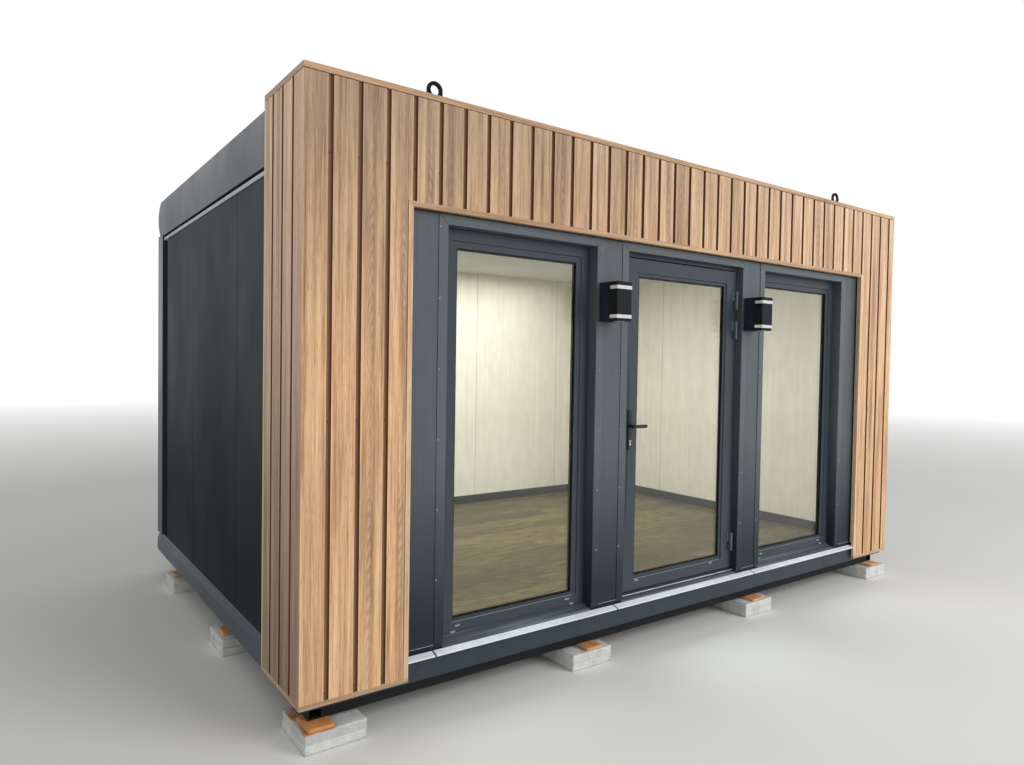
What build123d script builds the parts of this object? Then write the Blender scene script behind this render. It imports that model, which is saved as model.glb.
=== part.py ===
from build123d import *
import math
import os

# A portable office cabin on concrete blocks: a flat-roofed steel cabin with a timber-clad
# front portal, two full-height windows and a glazed door that opens outward.
# Setting out, in millimetres: x runs right from the cladding's left face, y runs back
# from the cladding's front face, and z runs up from the ground.

# Overall sizes
WIDTH = 5000.0
REAR_FACE = 3333.0

# Supports on the ground
BLOCK_LENGTH = 292.0
BLOCK_DEPTH = 296.0
BLOCK_HEIGHT = 92.0
BLOCK_PROUD = 10.0
SLAB_JOINT = 0.3
SHIM_THICKNESS = 16.0
SHIM_LENGTH = 120.0
SHIM_DEPTH = 150.0
SHIM_PROUD = 40.0
FRONT_SHIM_PROUD = 84.0
FRONT_SHIM_INSETS = (18.0, 108.0, 86.0, 86.0)
BLOCKS_FROM_LEFT = (24.0, 1554.0)
BLOCKS_FROM_RIGHT = (1886.0, 300.0)
MIDDLE_BLOCK_Y = 1277.0
REAR_BLOCK_FROM_REAR = 705.0
SIDE_BLOCK_X = 6.0

# Underframe of steel channels
UNDERFRAME_SETBACK = 50.0
UNDERFRAME_WIDTH = 60.0
UNDERFRAME_HEIGHT = 144.0
CHANNEL_SHEET = 6.0
JOIST_COUNT = 9
JOIST_WIDTH = 50.0

# Cold-rolled base rail
RAIL_RISE = 70.0
RAIL_STRAIGHT = 93.0
RAIL_CHAMFER = 54.0
RAIL_SHEET = 4.0
FRONT_RAIL_HEIGHT = 122.0
FRONT_LIP = 3.0
FRONT_RECESS = 10.0

# Floor
FLOOR_THICKNESS = 18.0
SKIRTING_HEIGHT = 80.0
SKIRTING_THICKNESS = 14.0

# Walls
RAIL_GAP = 2.0
FRONT_SETBACK = 8.0
WALL_SETBACK = 16.0
WALL_THICKNESS = 80.0
HEADER_HEIGHT = 241.0
JOINT_WIDTH = 5.0
JOINT_DEPTH = 6.0
FIRST_JOINT = 1130.0
PANEL_WIDTH = 1060.0
REAR_PANELS = 5

# Rear corner posts
POST_FACE_WIDTH = 172.0
POST_RETURN = 36.0
POST_SHEET = 4.0
POST_RECESS_WIDTH = 110.0
POST_RECESS_DEPTH = 28.0

# Roof edge
LIP_HEIGHT = 22.0
LIP_PROUD = 6.0
LIP_WIDTH = 34.0
ROOF_GAP = 22.0
ROOF_RING_SETBACK = 36.0
ROOF_RING_WIDTH = 60.0
PURLIN_COUNT = 5
PURLIN_WIDTH = 50.0
FASCIA_HEIGHT = 290.0
FASCIA_SHEET = 4.0
FASCIA_BULGE = 12.0
FASCIA_ROLL = 26.0
FASCIA_DEPTH = 90.0
FASCIA_LIP = 26.0
ROOF_SHEET = 3.0
ROOF_RIB_HEIGHT = 35.0
ROOF_RIB_PITCH = 250.0
ROOF_RIB_CROWN = 60.0
ROOF_RIB_FLANK = 25.0
ROOF_EDGE_CLEARANCE = 4.0

# Timber cladding
CLAD_THICKNESS = 20.0
CLAD_RISE = 22.0
CLAD_BELOW_ROOF = 11.0
CAP_HEIGHT = 27.0
CAP_FIT = 0.4
LEFT_LEG_WIDTH = 528.0
RIGHT_LEG_WIDTH = 493.0
RETURN_DEPTH = 528.0
BOARD_PITCH = 137.0
FIRST_GROOVE = 123.0
RETURN_FIRST_GROOVE = 126.0
GROOVE_WIDTH = 24.0
GROOVE_FLOOR = 23.0
GROOVE_DEPTH = 15.0
REBATE_DEPTH = 6.0
REBATE_WIDTH = 4.0
TRIM_WIDTH = 25.0
TRIM_DEPTH = 30.0
RETURN_TRIM = 20.0
BASE_TRIM_HEIGHT = 22.0
MITRE_GAP = 0.4
BATTEN_WIDTH = 45.0
BATTEN_EDGE = 60.0
BATTEN_GAP = 3.0
LEG_BATTENS = 3

# Openings in the front
OPENING_HEIGHT = 2066.0
LEFT_FILLER = 212.0
RIGHT_FILLER = 217.0
DOOR_WIDTH = 1083.0
DOOR_OFF_CENTRE = 16.5
LEFT_PILLAR = 250.0
RIGHT_PILLAR = 247.0
FLASHING_WIDTH = 52.0
FLASHING_SHEET = 4.0
FLASHING_FOOT = 20.0
SILL_SHEET = 3.0
SILL_FALL = 32.0
REVEAL_DEPTH = 66.0

# Window frames
FRAME_FACE = 60.0
FRAME_DEPTH = 56.0
BEAD_WIDTH = 35.0
BEAD_SETBACK = 8.0
BEAD_DEPTH = 10.0
GLASS_THICKNESS = 24.0
GLASS_BITE = 12.0
WINDOW_FOOT = 74.0
FRAME_FIT = 1.0

# Door
DOOR_FRAME_FACE = 32.0
DOOR_FRAME_SETBACK = 48.0
DOOR_FRAME_DEPTH = 60.0
DOOR_STOP = 16.0
DOOR_STOP_DEPTH = 10.0
LEAF_THICKNESS = 50.0
LEAF_PROUD = 6.0
STILE_WIDTH = 99.0
TOP_RAIL_WIDTH = 105.0
BOTTOM_RAIL_WIDTH = 90.0
HINGE_SIDE_GAP = 6.0
LOCK_SIDE_GAP = 8.0
HEAD_GAP = 7.0
DOOR_HEAD_FACE = 22.0
THRESHOLD = 2.0
THRESHOLD_STOP = 14.0
LEAF_FOOT_GAP = 6.0
DOOR_BEAD = 20.0
DOOR_GLASS_SETBACK = 18.0

# Hinges
HINGE_AXIS_PROUD = 20.0
HINGE_RADIUS = 9.0
HINGE_PIN_RADIUS = 4.0
HINGE_HEIGHT = 120.0
HINGE_LEAF = 26.0
HINGE_SHEET = 4.0
HINGE_CAP = 6.0
PIN_FIT = 0.4
PIN_END_GAP = 1.0
KNUCKLE_GAP = 0.4
LOWEST_HINGE_ABOVE_FOOT = 121.0
HINGES_BELOW_HEAD = (456.0, 256.0)

# Door handle
HANDLE_ABOVE_FLOOR = 1081.0
HANDLE_INSET = 28.0
PLATE_WIDTH = 26.0
PLATE_BELOW_LEVER = 142.0
PLATE_ABOVE_LEVER = 95.0
PLATE_THICKNESS = 9.0
PLATE_ROUND = 10.0
LEVER_LENGTH = 112.0
LEVER_PROUD = 46.0
LEVER_THICKNESS = 11.0
LEVER_HEIGHT = 20.0
LEVER_ROUND = 9.0
LEVER_NECK_RADIUS = 9.0
LEVER_CLEARANCE = 0.4
SPINDLE_RADIUS = 5.0
SPINDLE_BORE = 6.5
CYLINDER_DROP = 92.0
CYLINDER_RADIUS = 8.5
CYLINDER_PROUD = 4.0
CYLINDER_FIT = 0.3

# Drip cill
CILL_SEAT = 4.0
CILL_FALL = 11.0
CILL_DROP = 6.0
CILL_LAP = 0.2
CILL_SILL_GAP = 0.3
CILL_SHEET = 3.0
CILL_GAP = 9.0
CILL_JOINTS_BEFORE = (60.0, 75.0, 95.0)

# Wall lights
LIGHT_FROM_WINDOW = 20.0
LIGHT_FROM_DOOR = 17.0
LIGHT_WIDTH = 110.0
LIGHT_HEIGHT = 222.0
LIGHT_BELOW_HEAD = 205.0
LIGHT_BOX_DEPTH = 73.0
LIGHT_BODY_DEPTH = 70.0
BAND_HEIGHT = 20.0
BAND_THICKNESS = 2.0
LOWER_BAND_INSET = 27.0
UPPER_BAND_INSET = 32.0
BAND_STOP = 14.0

# Lifting eyes
EYE_WIDTH = 85.0
EYE_HEIGHT = 128.0
EYE_THICKNESS = 12.0
EYE_X = 656.0
EYE_INSET = 6.0
EYE_HOLE = 25.0

# Faces in plan, worked out from the sizes above
SIDE_FACE = CLAD_THICKNESS + RAIL_GAP
FRONT_FACE = SIDE_FACE + FRONT_SETBACK
WALL_SKIN = SIDE_FACE + WALL_SETBACK
FRONT_SKIN = WALL_SKIN + FLASHING_SHEET
WALL_INNER = WALL_SKIN + WALL_THICKNESS
FRONT_INNER = FRONT_SKIN + WALL_THICKNESS
REAR_SKIN = REAR_FACE - WALL_SETBACK
REAR_INNER = REAR_SKIN - WALL_THICKNESS
SLEEVE_BACK = WALL_SKIN + REVEAL_DEPTH
RETURN_CAP = SIDE_FACE - CAP_FIT

# Heights
SHIM_BOTTOM = BLOCK_HEIGHT
UNDERFRAME_BOTTOM = SHIM_BOTTOM + SHIM_THICKNESS
UNDERFRAME_TOP = UNDERFRAME_BOTTOM + UNDERFRAME_HEIGHT
FLOOR_TOP = UNDERFRAME_TOP + FLOOR_THICKNESS
RAIL_BOTTOM = UNDERFRAME_BOTTOM + RAIL_RISE
RAIL_TOP = RAIL_BOTTOM + RAIL_STRAIGHT + RAIL_CHAMFER
FRONT_RAIL_TOP = RAIL_BOTTOM + FRONT_RAIL_HEIGHT
WALL_BOTTOM = RAIL_TOP
FRONT_WALL_FOOT = RAIL_TOP + FRONT_LIP
CILL_BACK_Z = FRONT_RAIL_TOP + CILL_SEAT
CILL_FRONT_Z = CILL_BACK_Z - CILL_FALL
SILL_BACK_Z = CILL_BACK_Z + SILL_FALL
OPENING_BOTTOM = CILL_BACK_Z + FLASHING_FOOT
OPENING_TOP = OPENING_BOTTOM + OPENING_HEIGHT
PORTAL_TOP = OPENING_TOP + FLASHING_WIDTH
WALL_TOP = OPENING_TOP + HEADER_HEIGHT
FASCIA_BOTTOM = WALL_TOP + LIP_HEIGHT + ROOF_GAP
FASCIA_TOP = FASCIA_BOTTOM + FASCIA_HEIGHT
CLAD_BOTTOM = RAIL_BOTTOM + CLAD_RISE
CLAD_TOP = FASCIA_TOP - CLAD_BELOW_ROOF
EYE_TOP = FASCIA_TOP + EYE_HEIGHT
LIGHT_TOP = OPENING_TOP - LIGHT_BELOW_HEAD
LIGHT_BOTTOM = LIGHT_TOP - LIGHT_HEIGHT
BAND_CENTRES = (LIGHT_BOTTOM + LOWER_BAND_INSET, LIGHT_TOP - UPPER_BAND_INSET)

# The portal's opening between its legs, then the door and the windows inside it
PORTAL = (LEFT_LEG_WIDTH, WIDTH - RIGHT_LEG_WIDTH)
DOOR_LEFT = WIDTH / 2 + DOOR_OFF_CENTRE - DOOR_WIDTH / 2
DOOR_OPENING = (DOOR_LEFT, DOOR_LEFT + DOOR_WIDTH)
WINDOW_LEFT = (PORTAL[0] + LEFT_FILLER, DOOR_OPENING[0] - LEFT_PILLAR)
WINDOW_RIGHT = (DOOR_OPENING[1] + RIGHT_PILLAR, PORTAL[1] - RIGHT_FILLER)
OPENINGS = (WINDOW_LEFT, DOOR_OPENING, WINDOW_RIGHT)
LIGHT_LEFT_EDGES = (WINDOW_LEFT[1] + LIGHT_FROM_WINDOW, DOOR_OPENING[1] + LIGHT_FROM_DOOR)

# The wall lights reach furthest forward, and the rear fascia furthest back
LIGHT_FRONT = WALL_SKIN - LIGHT_BOX_DEPTH - LIGHT_BODY_DEPTH
BAND_FRONT = LIGHT_FRONT - BAND_THICKNESS
Y_CENTRE = (BAND_FRONT + REAR_FACE) / 2

# Door parts
DOOR_FRAME_FRONT = WALL_SKIN + DOOR_FRAME_SETBACK
DOOR_FACE = DOOR_FRAME_FRONT - LEAF_PROUD
DOOR_BACK = DOOR_FACE + LEAF_THICKNESS
LEAF_LEFT = DOOR_OPENING[0] + DOOR_FRAME_FACE + LOCK_SIDE_GAP
LEAF_RIGHT = DOOR_OPENING[1] - DOOR_FRAME_FACE - HINGE_SIDE_GAP
LEAF_BOTTOM = SILL_BACK_Z + THRESHOLD + LEAF_FOOT_GAP
LEAF_TOP = OPENING_TOP - DOOR_HEAD_FACE - HEAD_GAP
DOOR_GLASS_FRONT = DOOR_FACE + DOOR_GLASS_SETBACK
HANDLE_X = LEAF_LEFT + HANDLE_INSET
HANDLE_HEIGHT = FLOOR_TOP + HANDLE_ABOVE_FLOOR
CYLINDER_HEIGHT = HANDLE_HEIGHT - CYLINDER_DROP
HINGE_X = LEAF_RIGHT + HINGE_SIDE_GAP / 2
HINGE_Y = DOOR_FACE - HINGE_AXIS_PROUD
HINGE_BOTTOMS = [LEAF_BOTTOM + LOWEST_HINGE_ABOVE_FOOT] + [LEAF_TOP - drop for drop in HINGES_BELOW_HEAD]


def slab(x0, x1, y0, y1, z0, z1):
    """A plain block between two corners."""
    block = Box(x1 - x0, y1 - y0, z1 - z0, align=(Align.MIN, Align.MIN, Align.MIN))
    return Pos(x0, y0, z0) * block


def upright(points, bottom, top):
    """A plan outline raised between two heights."""
    outline = make_face(Polyline(*points, close=True))
    return Pos(0, 0, bottom) * extrude(outline, top - bottom, dir=(0, 0, 1))


def handed(shape):
    """The same shape on the cabin's other side."""
    return mirror(shape, about=Plane.YZ.offset(WIDTH / 2))


def pair(shape):
    """A piece and its mirror image."""
    return [shape, handed(shape)]


def along_y(profile, start, end):
    """A section drawn as depth and height, run from front to back."""
    return Pos(0, start, 0) * extrude(Plane.XZ * profile, end - start, dir=(0, 1, 0))


def along_x(profile, start, end):
    """A section drawn as depth and height, run from left to right."""
    return Pos(start, 0, 0) * extrude(Plane.YZ * profile, end - start, dir=(1, 0, 0))


def sheet_section(path, sheet, side=Side.RIGHT):
    """The section of a bent sheet whose outer surface follows a path."""
    outline = offset(path, amount=sheet, side=side, closed=True, kind=Kind.INTERSECTION)
    return make_face(outline)


def save(name, shapes):
    """Writes one node, moved so that the origin is under the middle of the cabin."""
    solids = [solid for shape in shapes for solid in shape.solids()]
    moved = [Pos(-WIDTH / 2, -Y_CENTRE, 0) * solid for solid in solids]
    export_step(Compound(children=moved), f"parts/{name}.step")


# Supports

def side_block(y, bottom, top):
    """A block turned to lie along the side beam."""
    return slab(SIDE_BLOCK_X, SIDE_BLOCK_X + BLOCK_DEPTH, y, y + BLOCK_LENGTH, bottom, top)


def front_blocks_x():
    """The left edges of the blocks along the front."""
    return list(BLOCKS_FROM_LEFT) + [WIDTH - distance for distance in BLOCKS_FROM_RIGHT]


def rear_blocks_x():
    """The left edges of the two blocks under the rear beam."""
    return front_blocks_x()[1:-1]


def side_blocks_y():
    """The front edges of the blocks along each side beam."""
    return MIDDLE_BLOCK_Y, REAR_FACE - REAR_BLOCK_FROM_REAR


def support_blocks():
    """Concrete blocks under the beams; at mid side two thin slabs make one block."""
    front = -BLOCK_PROUD
    solids = [
        slab(x, x + BLOCK_LENGTH, front, front + BLOCK_DEPTH, 0, BLOCK_HEIGHT)
        for x in front_blocks_x()
    ]
    solids += [
        slab(x, x + BLOCK_LENGTH, REAR_FACE - BLOCK_DEPTH, REAR_FACE, 0, BLOCK_HEIGHT)
        for x in rear_blocks_x()
    ]
    half = (BLOCK_HEIGHT - SLAB_JOINT) / 2
    middle, rear = side_blocks_y()
    solids += pair(side_block(middle, 0, half))
    solids += pair(side_block(middle, half + SLAB_JOINT, BLOCK_HEIGHT))
    solids += pair(side_block(rear, 0, BLOCK_HEIGHT))
    return solids


def timber_shims():
    """Softwood pads between the blocks and the underframe."""
    inset = (BLOCK_LENGTH - SHIM_LENGTH) / 2
    top = SHIM_BOTTOM + SHIM_THICKNESS
    front = FRONT_FACE + UNDERFRAME_SETBACK - FRONT_SHIM_PROUD
    rear = REAR_FACE - UNDERFRAME_SETBACK + SHIM_PROUD
    side = SIDE_FACE + UNDERFRAME_SETBACK - SHIM_PROUD
    shims = []
    for block, front_inset in zip(front_blocks_x(), FRONT_SHIM_INSETS):
        x0 = block + front_inset
        shims.append(slab(x0, x0 + SHIM_LENGTH, front, front + SHIM_DEPTH, SHIM_BOTTOM, top))
    for block in rear_blocks_x():
        x0 = block + inset
        shims.append(slab(x0, x0 + SHIM_LENGTH, rear - SHIM_DEPTH, rear, SHIM_BOTTOM, top))
    for block in side_blocks_y():
        y0 = block + inset
        shims += pair(slab(side, side + SHIM_DEPTH, y0, y0 + SHIM_LENGTH, SHIM_BOTTOM, top))
    return shims


def channel_section(face, width):
    """A steel channel: an upright web at a face, with both flanges turned inward."""
    path = Polyline(
        (face + width, UNDERFRAME_BOTTOM),
        (face, UNDERFRAME_BOTTOM),
        (face, UNDERFRAME_TOP),
        (face + width, UNDERFRAME_TOP),
    )
    return sheet_section(path, CHANNEL_SHEET)


def underframe_side_beams():
    """The two long channels under the side walls."""
    x0 = SIDE_FACE + UNDERFRAME_SETBACK
    y0 = FRONT_FACE + UNDERFRAME_SETBACK
    y1 = REAR_FACE - UNDERFRAME_SETBACK
    return pair(along_y(channel_section(x0, UNDERFRAME_WIDTH), y0, y1))


def underframe_end_beams():
    """The front and rear channels, which run between the side ones."""
    x0 = SIDE_FACE + UNDERFRAME_SETBACK + UNDERFRAME_WIDTH
    section = channel_section(0, UNDERFRAME_WIDTH)
    beam = along_x(section, x0, WIDTH - x0)
    front = Pos(0, FRONT_FACE + UNDERFRAME_SETBACK, 0) * beam
    rear = Pos(0, REAR_FACE - UNDERFRAME_SETBACK, 0) * mirror(beam, about=Plane.XZ)
    return [front, rear]


def floor_joists():
    """Cross channels between the front and rear ones, evenly spaced."""
    x0 = SIDE_FACE + UNDERFRAME_SETBACK
    y0 = FRONT_FACE + UNDERFRAME_SETBACK + UNDERFRAME_WIDTH
    y1 = REAR_FACE - UNDERFRAME_SETBACK - UNDERFRAME_WIDTH
    spacing = (WIDTH - 2 * x0) / (JOIST_COUNT + 1)
    joists = []
    for number in range(1, JOIST_COUNT + 1):
        left = x0 + number * spacing - JOIST_WIDTH / 2
        joists.append(along_y(channel_section(left, JOIST_WIDTH), y0, y1))
    return joists


# Base rail and floor

def chamfer_run(top):
    """How far the base rail's chamfer leans in by a height."""
    return WALL_SETBACK * (top - RAIL_BOTTOM - RAIL_STRAIGHT) / RAIL_CHAMFER


def rail_section(face, inner, top):
    """The base rail: foot flange, straight web, chamfer up to the wall and a top flange."""
    path = Polyline(
        (face + UNDERFRAME_SETBACK, RAIL_BOTTOM),
        (face, RAIL_BOTTOM),
        (face, RAIL_BOTTOM + RAIL_STRAIGHT),
        (face + chamfer_run(top), top),
        (inner, top),
    )
    return sheet_section(path, RAIL_SHEET)


def edge_wedge(inset_front, inset_back, depth):
    """A tall prism over the left edge of the plan, with mitred ends."""
    points = (
        (SIDE_FACE, inset_front),
        (SIDE_FACE + depth, inset_front + depth),
        (SIDE_FACE + depth, inset_back - depth),
        (SIDE_FACE, inset_back),
    )
    return upright(points, 0, EYE_TOP)


def end_wedge(near, far, depth):
    """A tall prism over a front or rear edge of the plan, with mitred ends."""
    points = (
        (SIDE_FACE, near),
        (WIDTH - SIDE_FACE, near),
        (WIDTH - SIDE_FACE - depth, far),
        (SIDE_FACE + depth, far),
    )
    return upright(points, 0, EYE_TOP)


def side_base_rails():
    """The two side rails, mitred at their corners."""
    section = rail_section(SIDE_FACE, WALL_INNER, RAIL_TOP)
    rail = along_y(section, FRONT_FACE, REAR_FACE)
    depth = WALL_INNER - SIDE_FACE
    return pair(rail & edge_wedge(FRONT_FACE, REAR_FACE, depth))


def end_base_rails():
    """The front rail under the cill and the rear rail, mitred at their corners."""
    depth = WALL_INNER - SIDE_FACE
    start = SIDE_FACE
    end = WIDTH - SIDE_FACE
    front = along_x(rail_section(FRONT_FACE, FRONT_INNER, FRONT_RAIL_TOP), start, end)
    rear = along_x(rail_section(0, REAR_FACE - REAR_INNER, RAIL_TOP), start, end)
    rear = Pos(0, REAR_FACE, 0) * mirror(rear, about=Plane.XZ)
    return [
        front & end_wedge(FRONT_FACE, FRONT_FACE + depth, depth),
        rear & end_wedge(REAR_FACE, REAR_FACE - depth, depth),
    ]


def floor_deck():
    """The floor board, which rests on the joists and stops at the walls."""
    return [
        slab(
            WALL_INNER,
            WIDTH - WALL_INNER,
            FRONT_INNER,
            REAR_INNER,
            FLOOR_TOP - FLOOR_THICKNESS,
            FLOOR_TOP,
        )
    ]


def skirting():
    """A dark skirting round the left, rear and right walls."""
    outer = slab(
        WALL_INNER,
        WIDTH - WALL_INNER,
        FRONT_INNER,
        REAR_INNER,
        FLOOR_TOP,
        FLOOR_TOP + SKIRTING_HEIGHT,
    )
    inner = slab(
        WALL_INNER + SKIRTING_THICKNESS,
        WIDTH - WALL_INNER - SKIRTING_THICKNESS,
        FRONT_INNER,
        REAR_INNER - SKIRTING_THICKNESS,
        FLOOR_TOP,
        FLOOR_TOP + SKIRTING_HEIGHT,
    )
    return [outer - inner]


# Walls

def side_wall():
    """The insulated left wall, with panel joints and a recess beside the rear post."""
    recess_start = REAR_FACE - POST_FACE_WIDTH - POST_RECESS_WIDTH
    recess = WALL_SKIN + POST_RECESS_DEPTH
    points = (
        (WALL_SKIN, FRONT_SKIN),
        (WALL_SKIN, recess_start),
        (recess, recess_start),
        (recess, REAR_INNER),
        (WALL_INNER, REAR_INNER),
        (WALL_INNER, FRONT_SKIN),
    )
    wall = upright(points, WALL_BOTTOM, WALL_TOP)
    joint = FIRST_JOINT
    while joint < recess_start:
        wall -= slab(
            WALL_SKIN,
            WALL_SKIN + JOINT_DEPTH,
            joint - JOINT_WIDTH / 2,
            joint + JOINT_WIDTH / 2,
            WALL_BOTTOM,
            WALL_TOP,
        )
        joint += PANEL_WIDTH
    return wall


def rear_wall():
    """The insulated rear wall between the two posts, with panel joints."""
    post_edge = SIDE_FACE + POST_FACE_WIDTH
    recess_end = post_edge + POST_RECESS_WIDTH
    recess = REAR_SKIN - POST_RECESS_DEPTH
    corner = WALL_SKIN + POST_RECESS_DEPTH
    points = (
        (corner, REAR_INNER),
        (corner, recess),
        (recess_end, recess),
        (recess_end, REAR_SKIN),
        (WIDTH - recess_end, REAR_SKIN),
        (WIDTH - recess_end, recess),
        (WIDTH - corner, recess),
        (WIDTH - corner, REAR_INNER),
    )
    wall = upright(points, WALL_BOTTOM, WALL_TOP)
    panel = (WIDTH - 2 * recess_end) / REAR_PANELS
    for number in range(1, REAR_PANELS):
        joint = recess_end + number * panel
        wall -= slab(
            joint - JOINT_WIDTH / 2,
            joint + JOINT_WIDTH / 2,
            REAR_SKIN - JOINT_DEPTH,
            REAR_SKIN,
            WALL_BOTTOM,
            WALL_TOP,
        )
    return [wall]


def rear_corner_posts():
    """Cold-rolled corner posts: two faces, each with a return into the recess."""
    side_edge = REAR_FACE - POST_FACE_WIDTH
    rear_edge = SIDE_FACE + POST_FACE_WIDTH
    path = Polyline(
        (SIDE_FACE + POST_RETURN, side_edge),
        (SIDE_FACE, side_edge),
        (SIDE_FACE, REAR_FACE),
        (rear_edge, REAR_FACE),
        (rear_edge, REAR_FACE - POST_RETURN),
    )
    section = sheet_section(path, POST_SHEET)
    post = Pos(0, 0, RAIL_TOP) * extrude(section, FASCIA_BOTTOM - RAIL_TOP, dir=(0, 0, 1))
    return pair(post)


def front_wall_section(top):
    """A front wall panel, whose foot stands back behind the rail."""
    points = (
        (FRONT_SKIN, FRONT_WALL_FOOT),
        (FRONT_SKIN, top),
        (FRONT_INNER, top),
        (FRONT_INNER, FRONT_RAIL_TOP),
        (FRONT_SKIN + FRONT_RECESS, FRONT_RAIL_TOP),
        (FRONT_SKIN + FRONT_RECESS, FRONT_WALL_FOOT),
    )
    return make_face(Polyline(*points, close=True))


def front_panels():
    """The front wall beside the openings: two end panels and two pillars."""
    tall = front_wall_section(WALL_TOP)
    short = front_wall_section(OPENING_TOP + FLASHING_SHEET)
    return [
        along_x(tall, WALL_INNER, WINDOW_LEFT[0] - FLASHING_SHEET),
        along_x(short, WINDOW_LEFT[1] + FLASHING_SHEET, DOOR_OPENING[0] - FLASHING_SHEET),
        along_x(short, DOOR_OPENING[1] + FLASHING_SHEET, WINDOW_RIGHT[0] - FLASHING_SHEET),
        along_x(tall, WINDOW_RIGHT[1] + FLASHING_SHEET, WIDTH - WALL_INNER),
    ]


def front_header():
    """The wall over the windows and the door."""
    return [
        slab(
            WINDOW_LEFT[0] - FLASHING_SHEET,
            WINDOW_RIGHT[1] + FLASHING_SHEET,
            FRONT_SKIN,
            FRONT_INNER,
            OPENING_TOP + FLASHING_SHEET,
            WALL_TOP,
        )
    ]


def surround(opening):
    """Flashing round an opening: a flat border on the wall and a sleeve into it."""
    left, right = opening
    border = slab(
        left - FLASHING_WIDTH,
        right + FLASHING_WIDTH,
        WALL_SKIN,
        FRONT_SKIN,
        OPENING_BOTTOM,
        OPENING_TOP + FLASHING_WIDTH,
    )
    sleeve = slab(
        left - FLASHING_SHEET,
        right + FLASHING_SHEET,
        FRONT_SKIN,
        FRONT_INNER,
        OPENING_BOTTOM,
        OPENING_TOP + FLASHING_SHEET,
    )
    return border + sleeve - slab(left, right, WALL_SKIN, FRONT_INNER, OPENING_BOTTOM, OPENING_TOP)


def sills():
    """A sloping sill at the foot of each window and of the door."""
    path = Polyline(
        (cill_back() + CILL_SILL_GAP, CILL_BACK_Z),
        (SLEEVE_BACK, SILL_BACK_Z),
        (FRONT_INNER, SILL_BACK_Z),
        (FRONT_INNER, FRONT_RAIL_TOP),
    )
    section = sheet_section(path, SILL_SHEET)
    return [along_x(section, left, right) for left, right in OPENINGS]


# Windows

def window_frame(opening):
    """A fixed frame with a stepped glazing bead."""
    left, right = opening
    x0 = left + FRAME_FIT
    x1 = right - FRAME_FIT
    z0 = SILL_BACK_Z
    z1 = OPENING_TOP - FRAME_FIT
    face = SLEEVE_BACK
    inner = FRAME_FACE + BEAD_WIDTH
    bead = face + BEAD_SETBACK
    frame = slab(x0, x1, face, face + FRAME_DEPTH, z0, z1)
    frame -= slab(
        x0 + FRAME_FACE, x1 - FRAME_FACE, face, bead, z0 + FRAME_FACE, z1 - FRAME_FACE
    )
    frame -= slab(
        x0 + inner, x1 - inner, bead, face + FRAME_DEPTH, z0 + WINDOW_FOOT, z1 - inner
    )
    groove = bead + BEAD_DEPTH
    frame -= glazing_slot(window_glass_box(opening), groove)
    return [frame]


def window_glass_box(opening):
    """The corners of a window's glass unit, which stands in the frame's groove."""
    left, right = opening
    inner = FRAME_FIT + FRAME_FACE + BEAD_WIDTH - GLASS_BITE
    x0 = left + inner
    x1 = right - inner
    z0 = SILL_BACK_Z + WINDOW_FOOT - GLASS_BITE
    z1 = OPENING_TOP - inner
    return x0, x1, z0, z1


def glazing_slot(box, front):
    """The groove that holds a glass unit."""
    x0, x1, z0, z1 = box
    return slab(x0, x1, front, front + GLASS_THICKNESS, z0, z1)


def window_glass(opening):
    """A sealed glass unit."""
    front = SLEEVE_BACK + BEAD_SETBACK + BEAD_DEPTH
    return [glazing_slot(window_glass_box(opening), front)]


# Door

def door_frame():
    """Jambs, head and threshold, with a stop behind the leaf."""
    left, right = DOOR_OPENING
    face = DOOR_FRAME_FRONT
    back = face + DOOR_FRAME_DEPTH
    stop = back - DOOR_STOP_DEPTH
    frame = slab(
        left + FRAME_FIT,
        right - FRAME_FIT,
        face,
        back,
        SILL_BACK_Z,
        OPENING_TOP - FRAME_FIT,
    )
    frame -= slab(
        left + DOOR_FRAME_FACE,
        right - DOOR_FRAME_FACE,
        face,
        stop,
        SILL_BACK_Z + THRESHOLD,
        OPENING_TOP - DOOR_HEAD_FACE,
    )
    frame -= slab(
        left + DOOR_FRAME_FACE + DOOR_STOP,
        right - DOOR_FRAME_FACE - DOOR_STOP,
        stop,
        back,
        SILL_BACK_Z + THRESHOLD + THRESHOLD_STOP,
        OPENING_TOP - DOOR_HEAD_FACE - DOOR_STOP,
    )
    return [frame]


def leaf_glass_box():
    """The corners of the door's glass unit."""
    x0 = LEAF_LEFT + STILE_WIDTH - GLASS_BITE
    x1 = LEAF_RIGHT - STILE_WIDTH + GLASS_BITE
    z0 = LEAF_BOTTOM + BOTTOM_RAIL_WIDTH - GLASS_BITE
    z1 = LEAF_TOP - TOP_RAIL_WIDTH + GLASS_BITE
    return x0, x1, z0, z1


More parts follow.
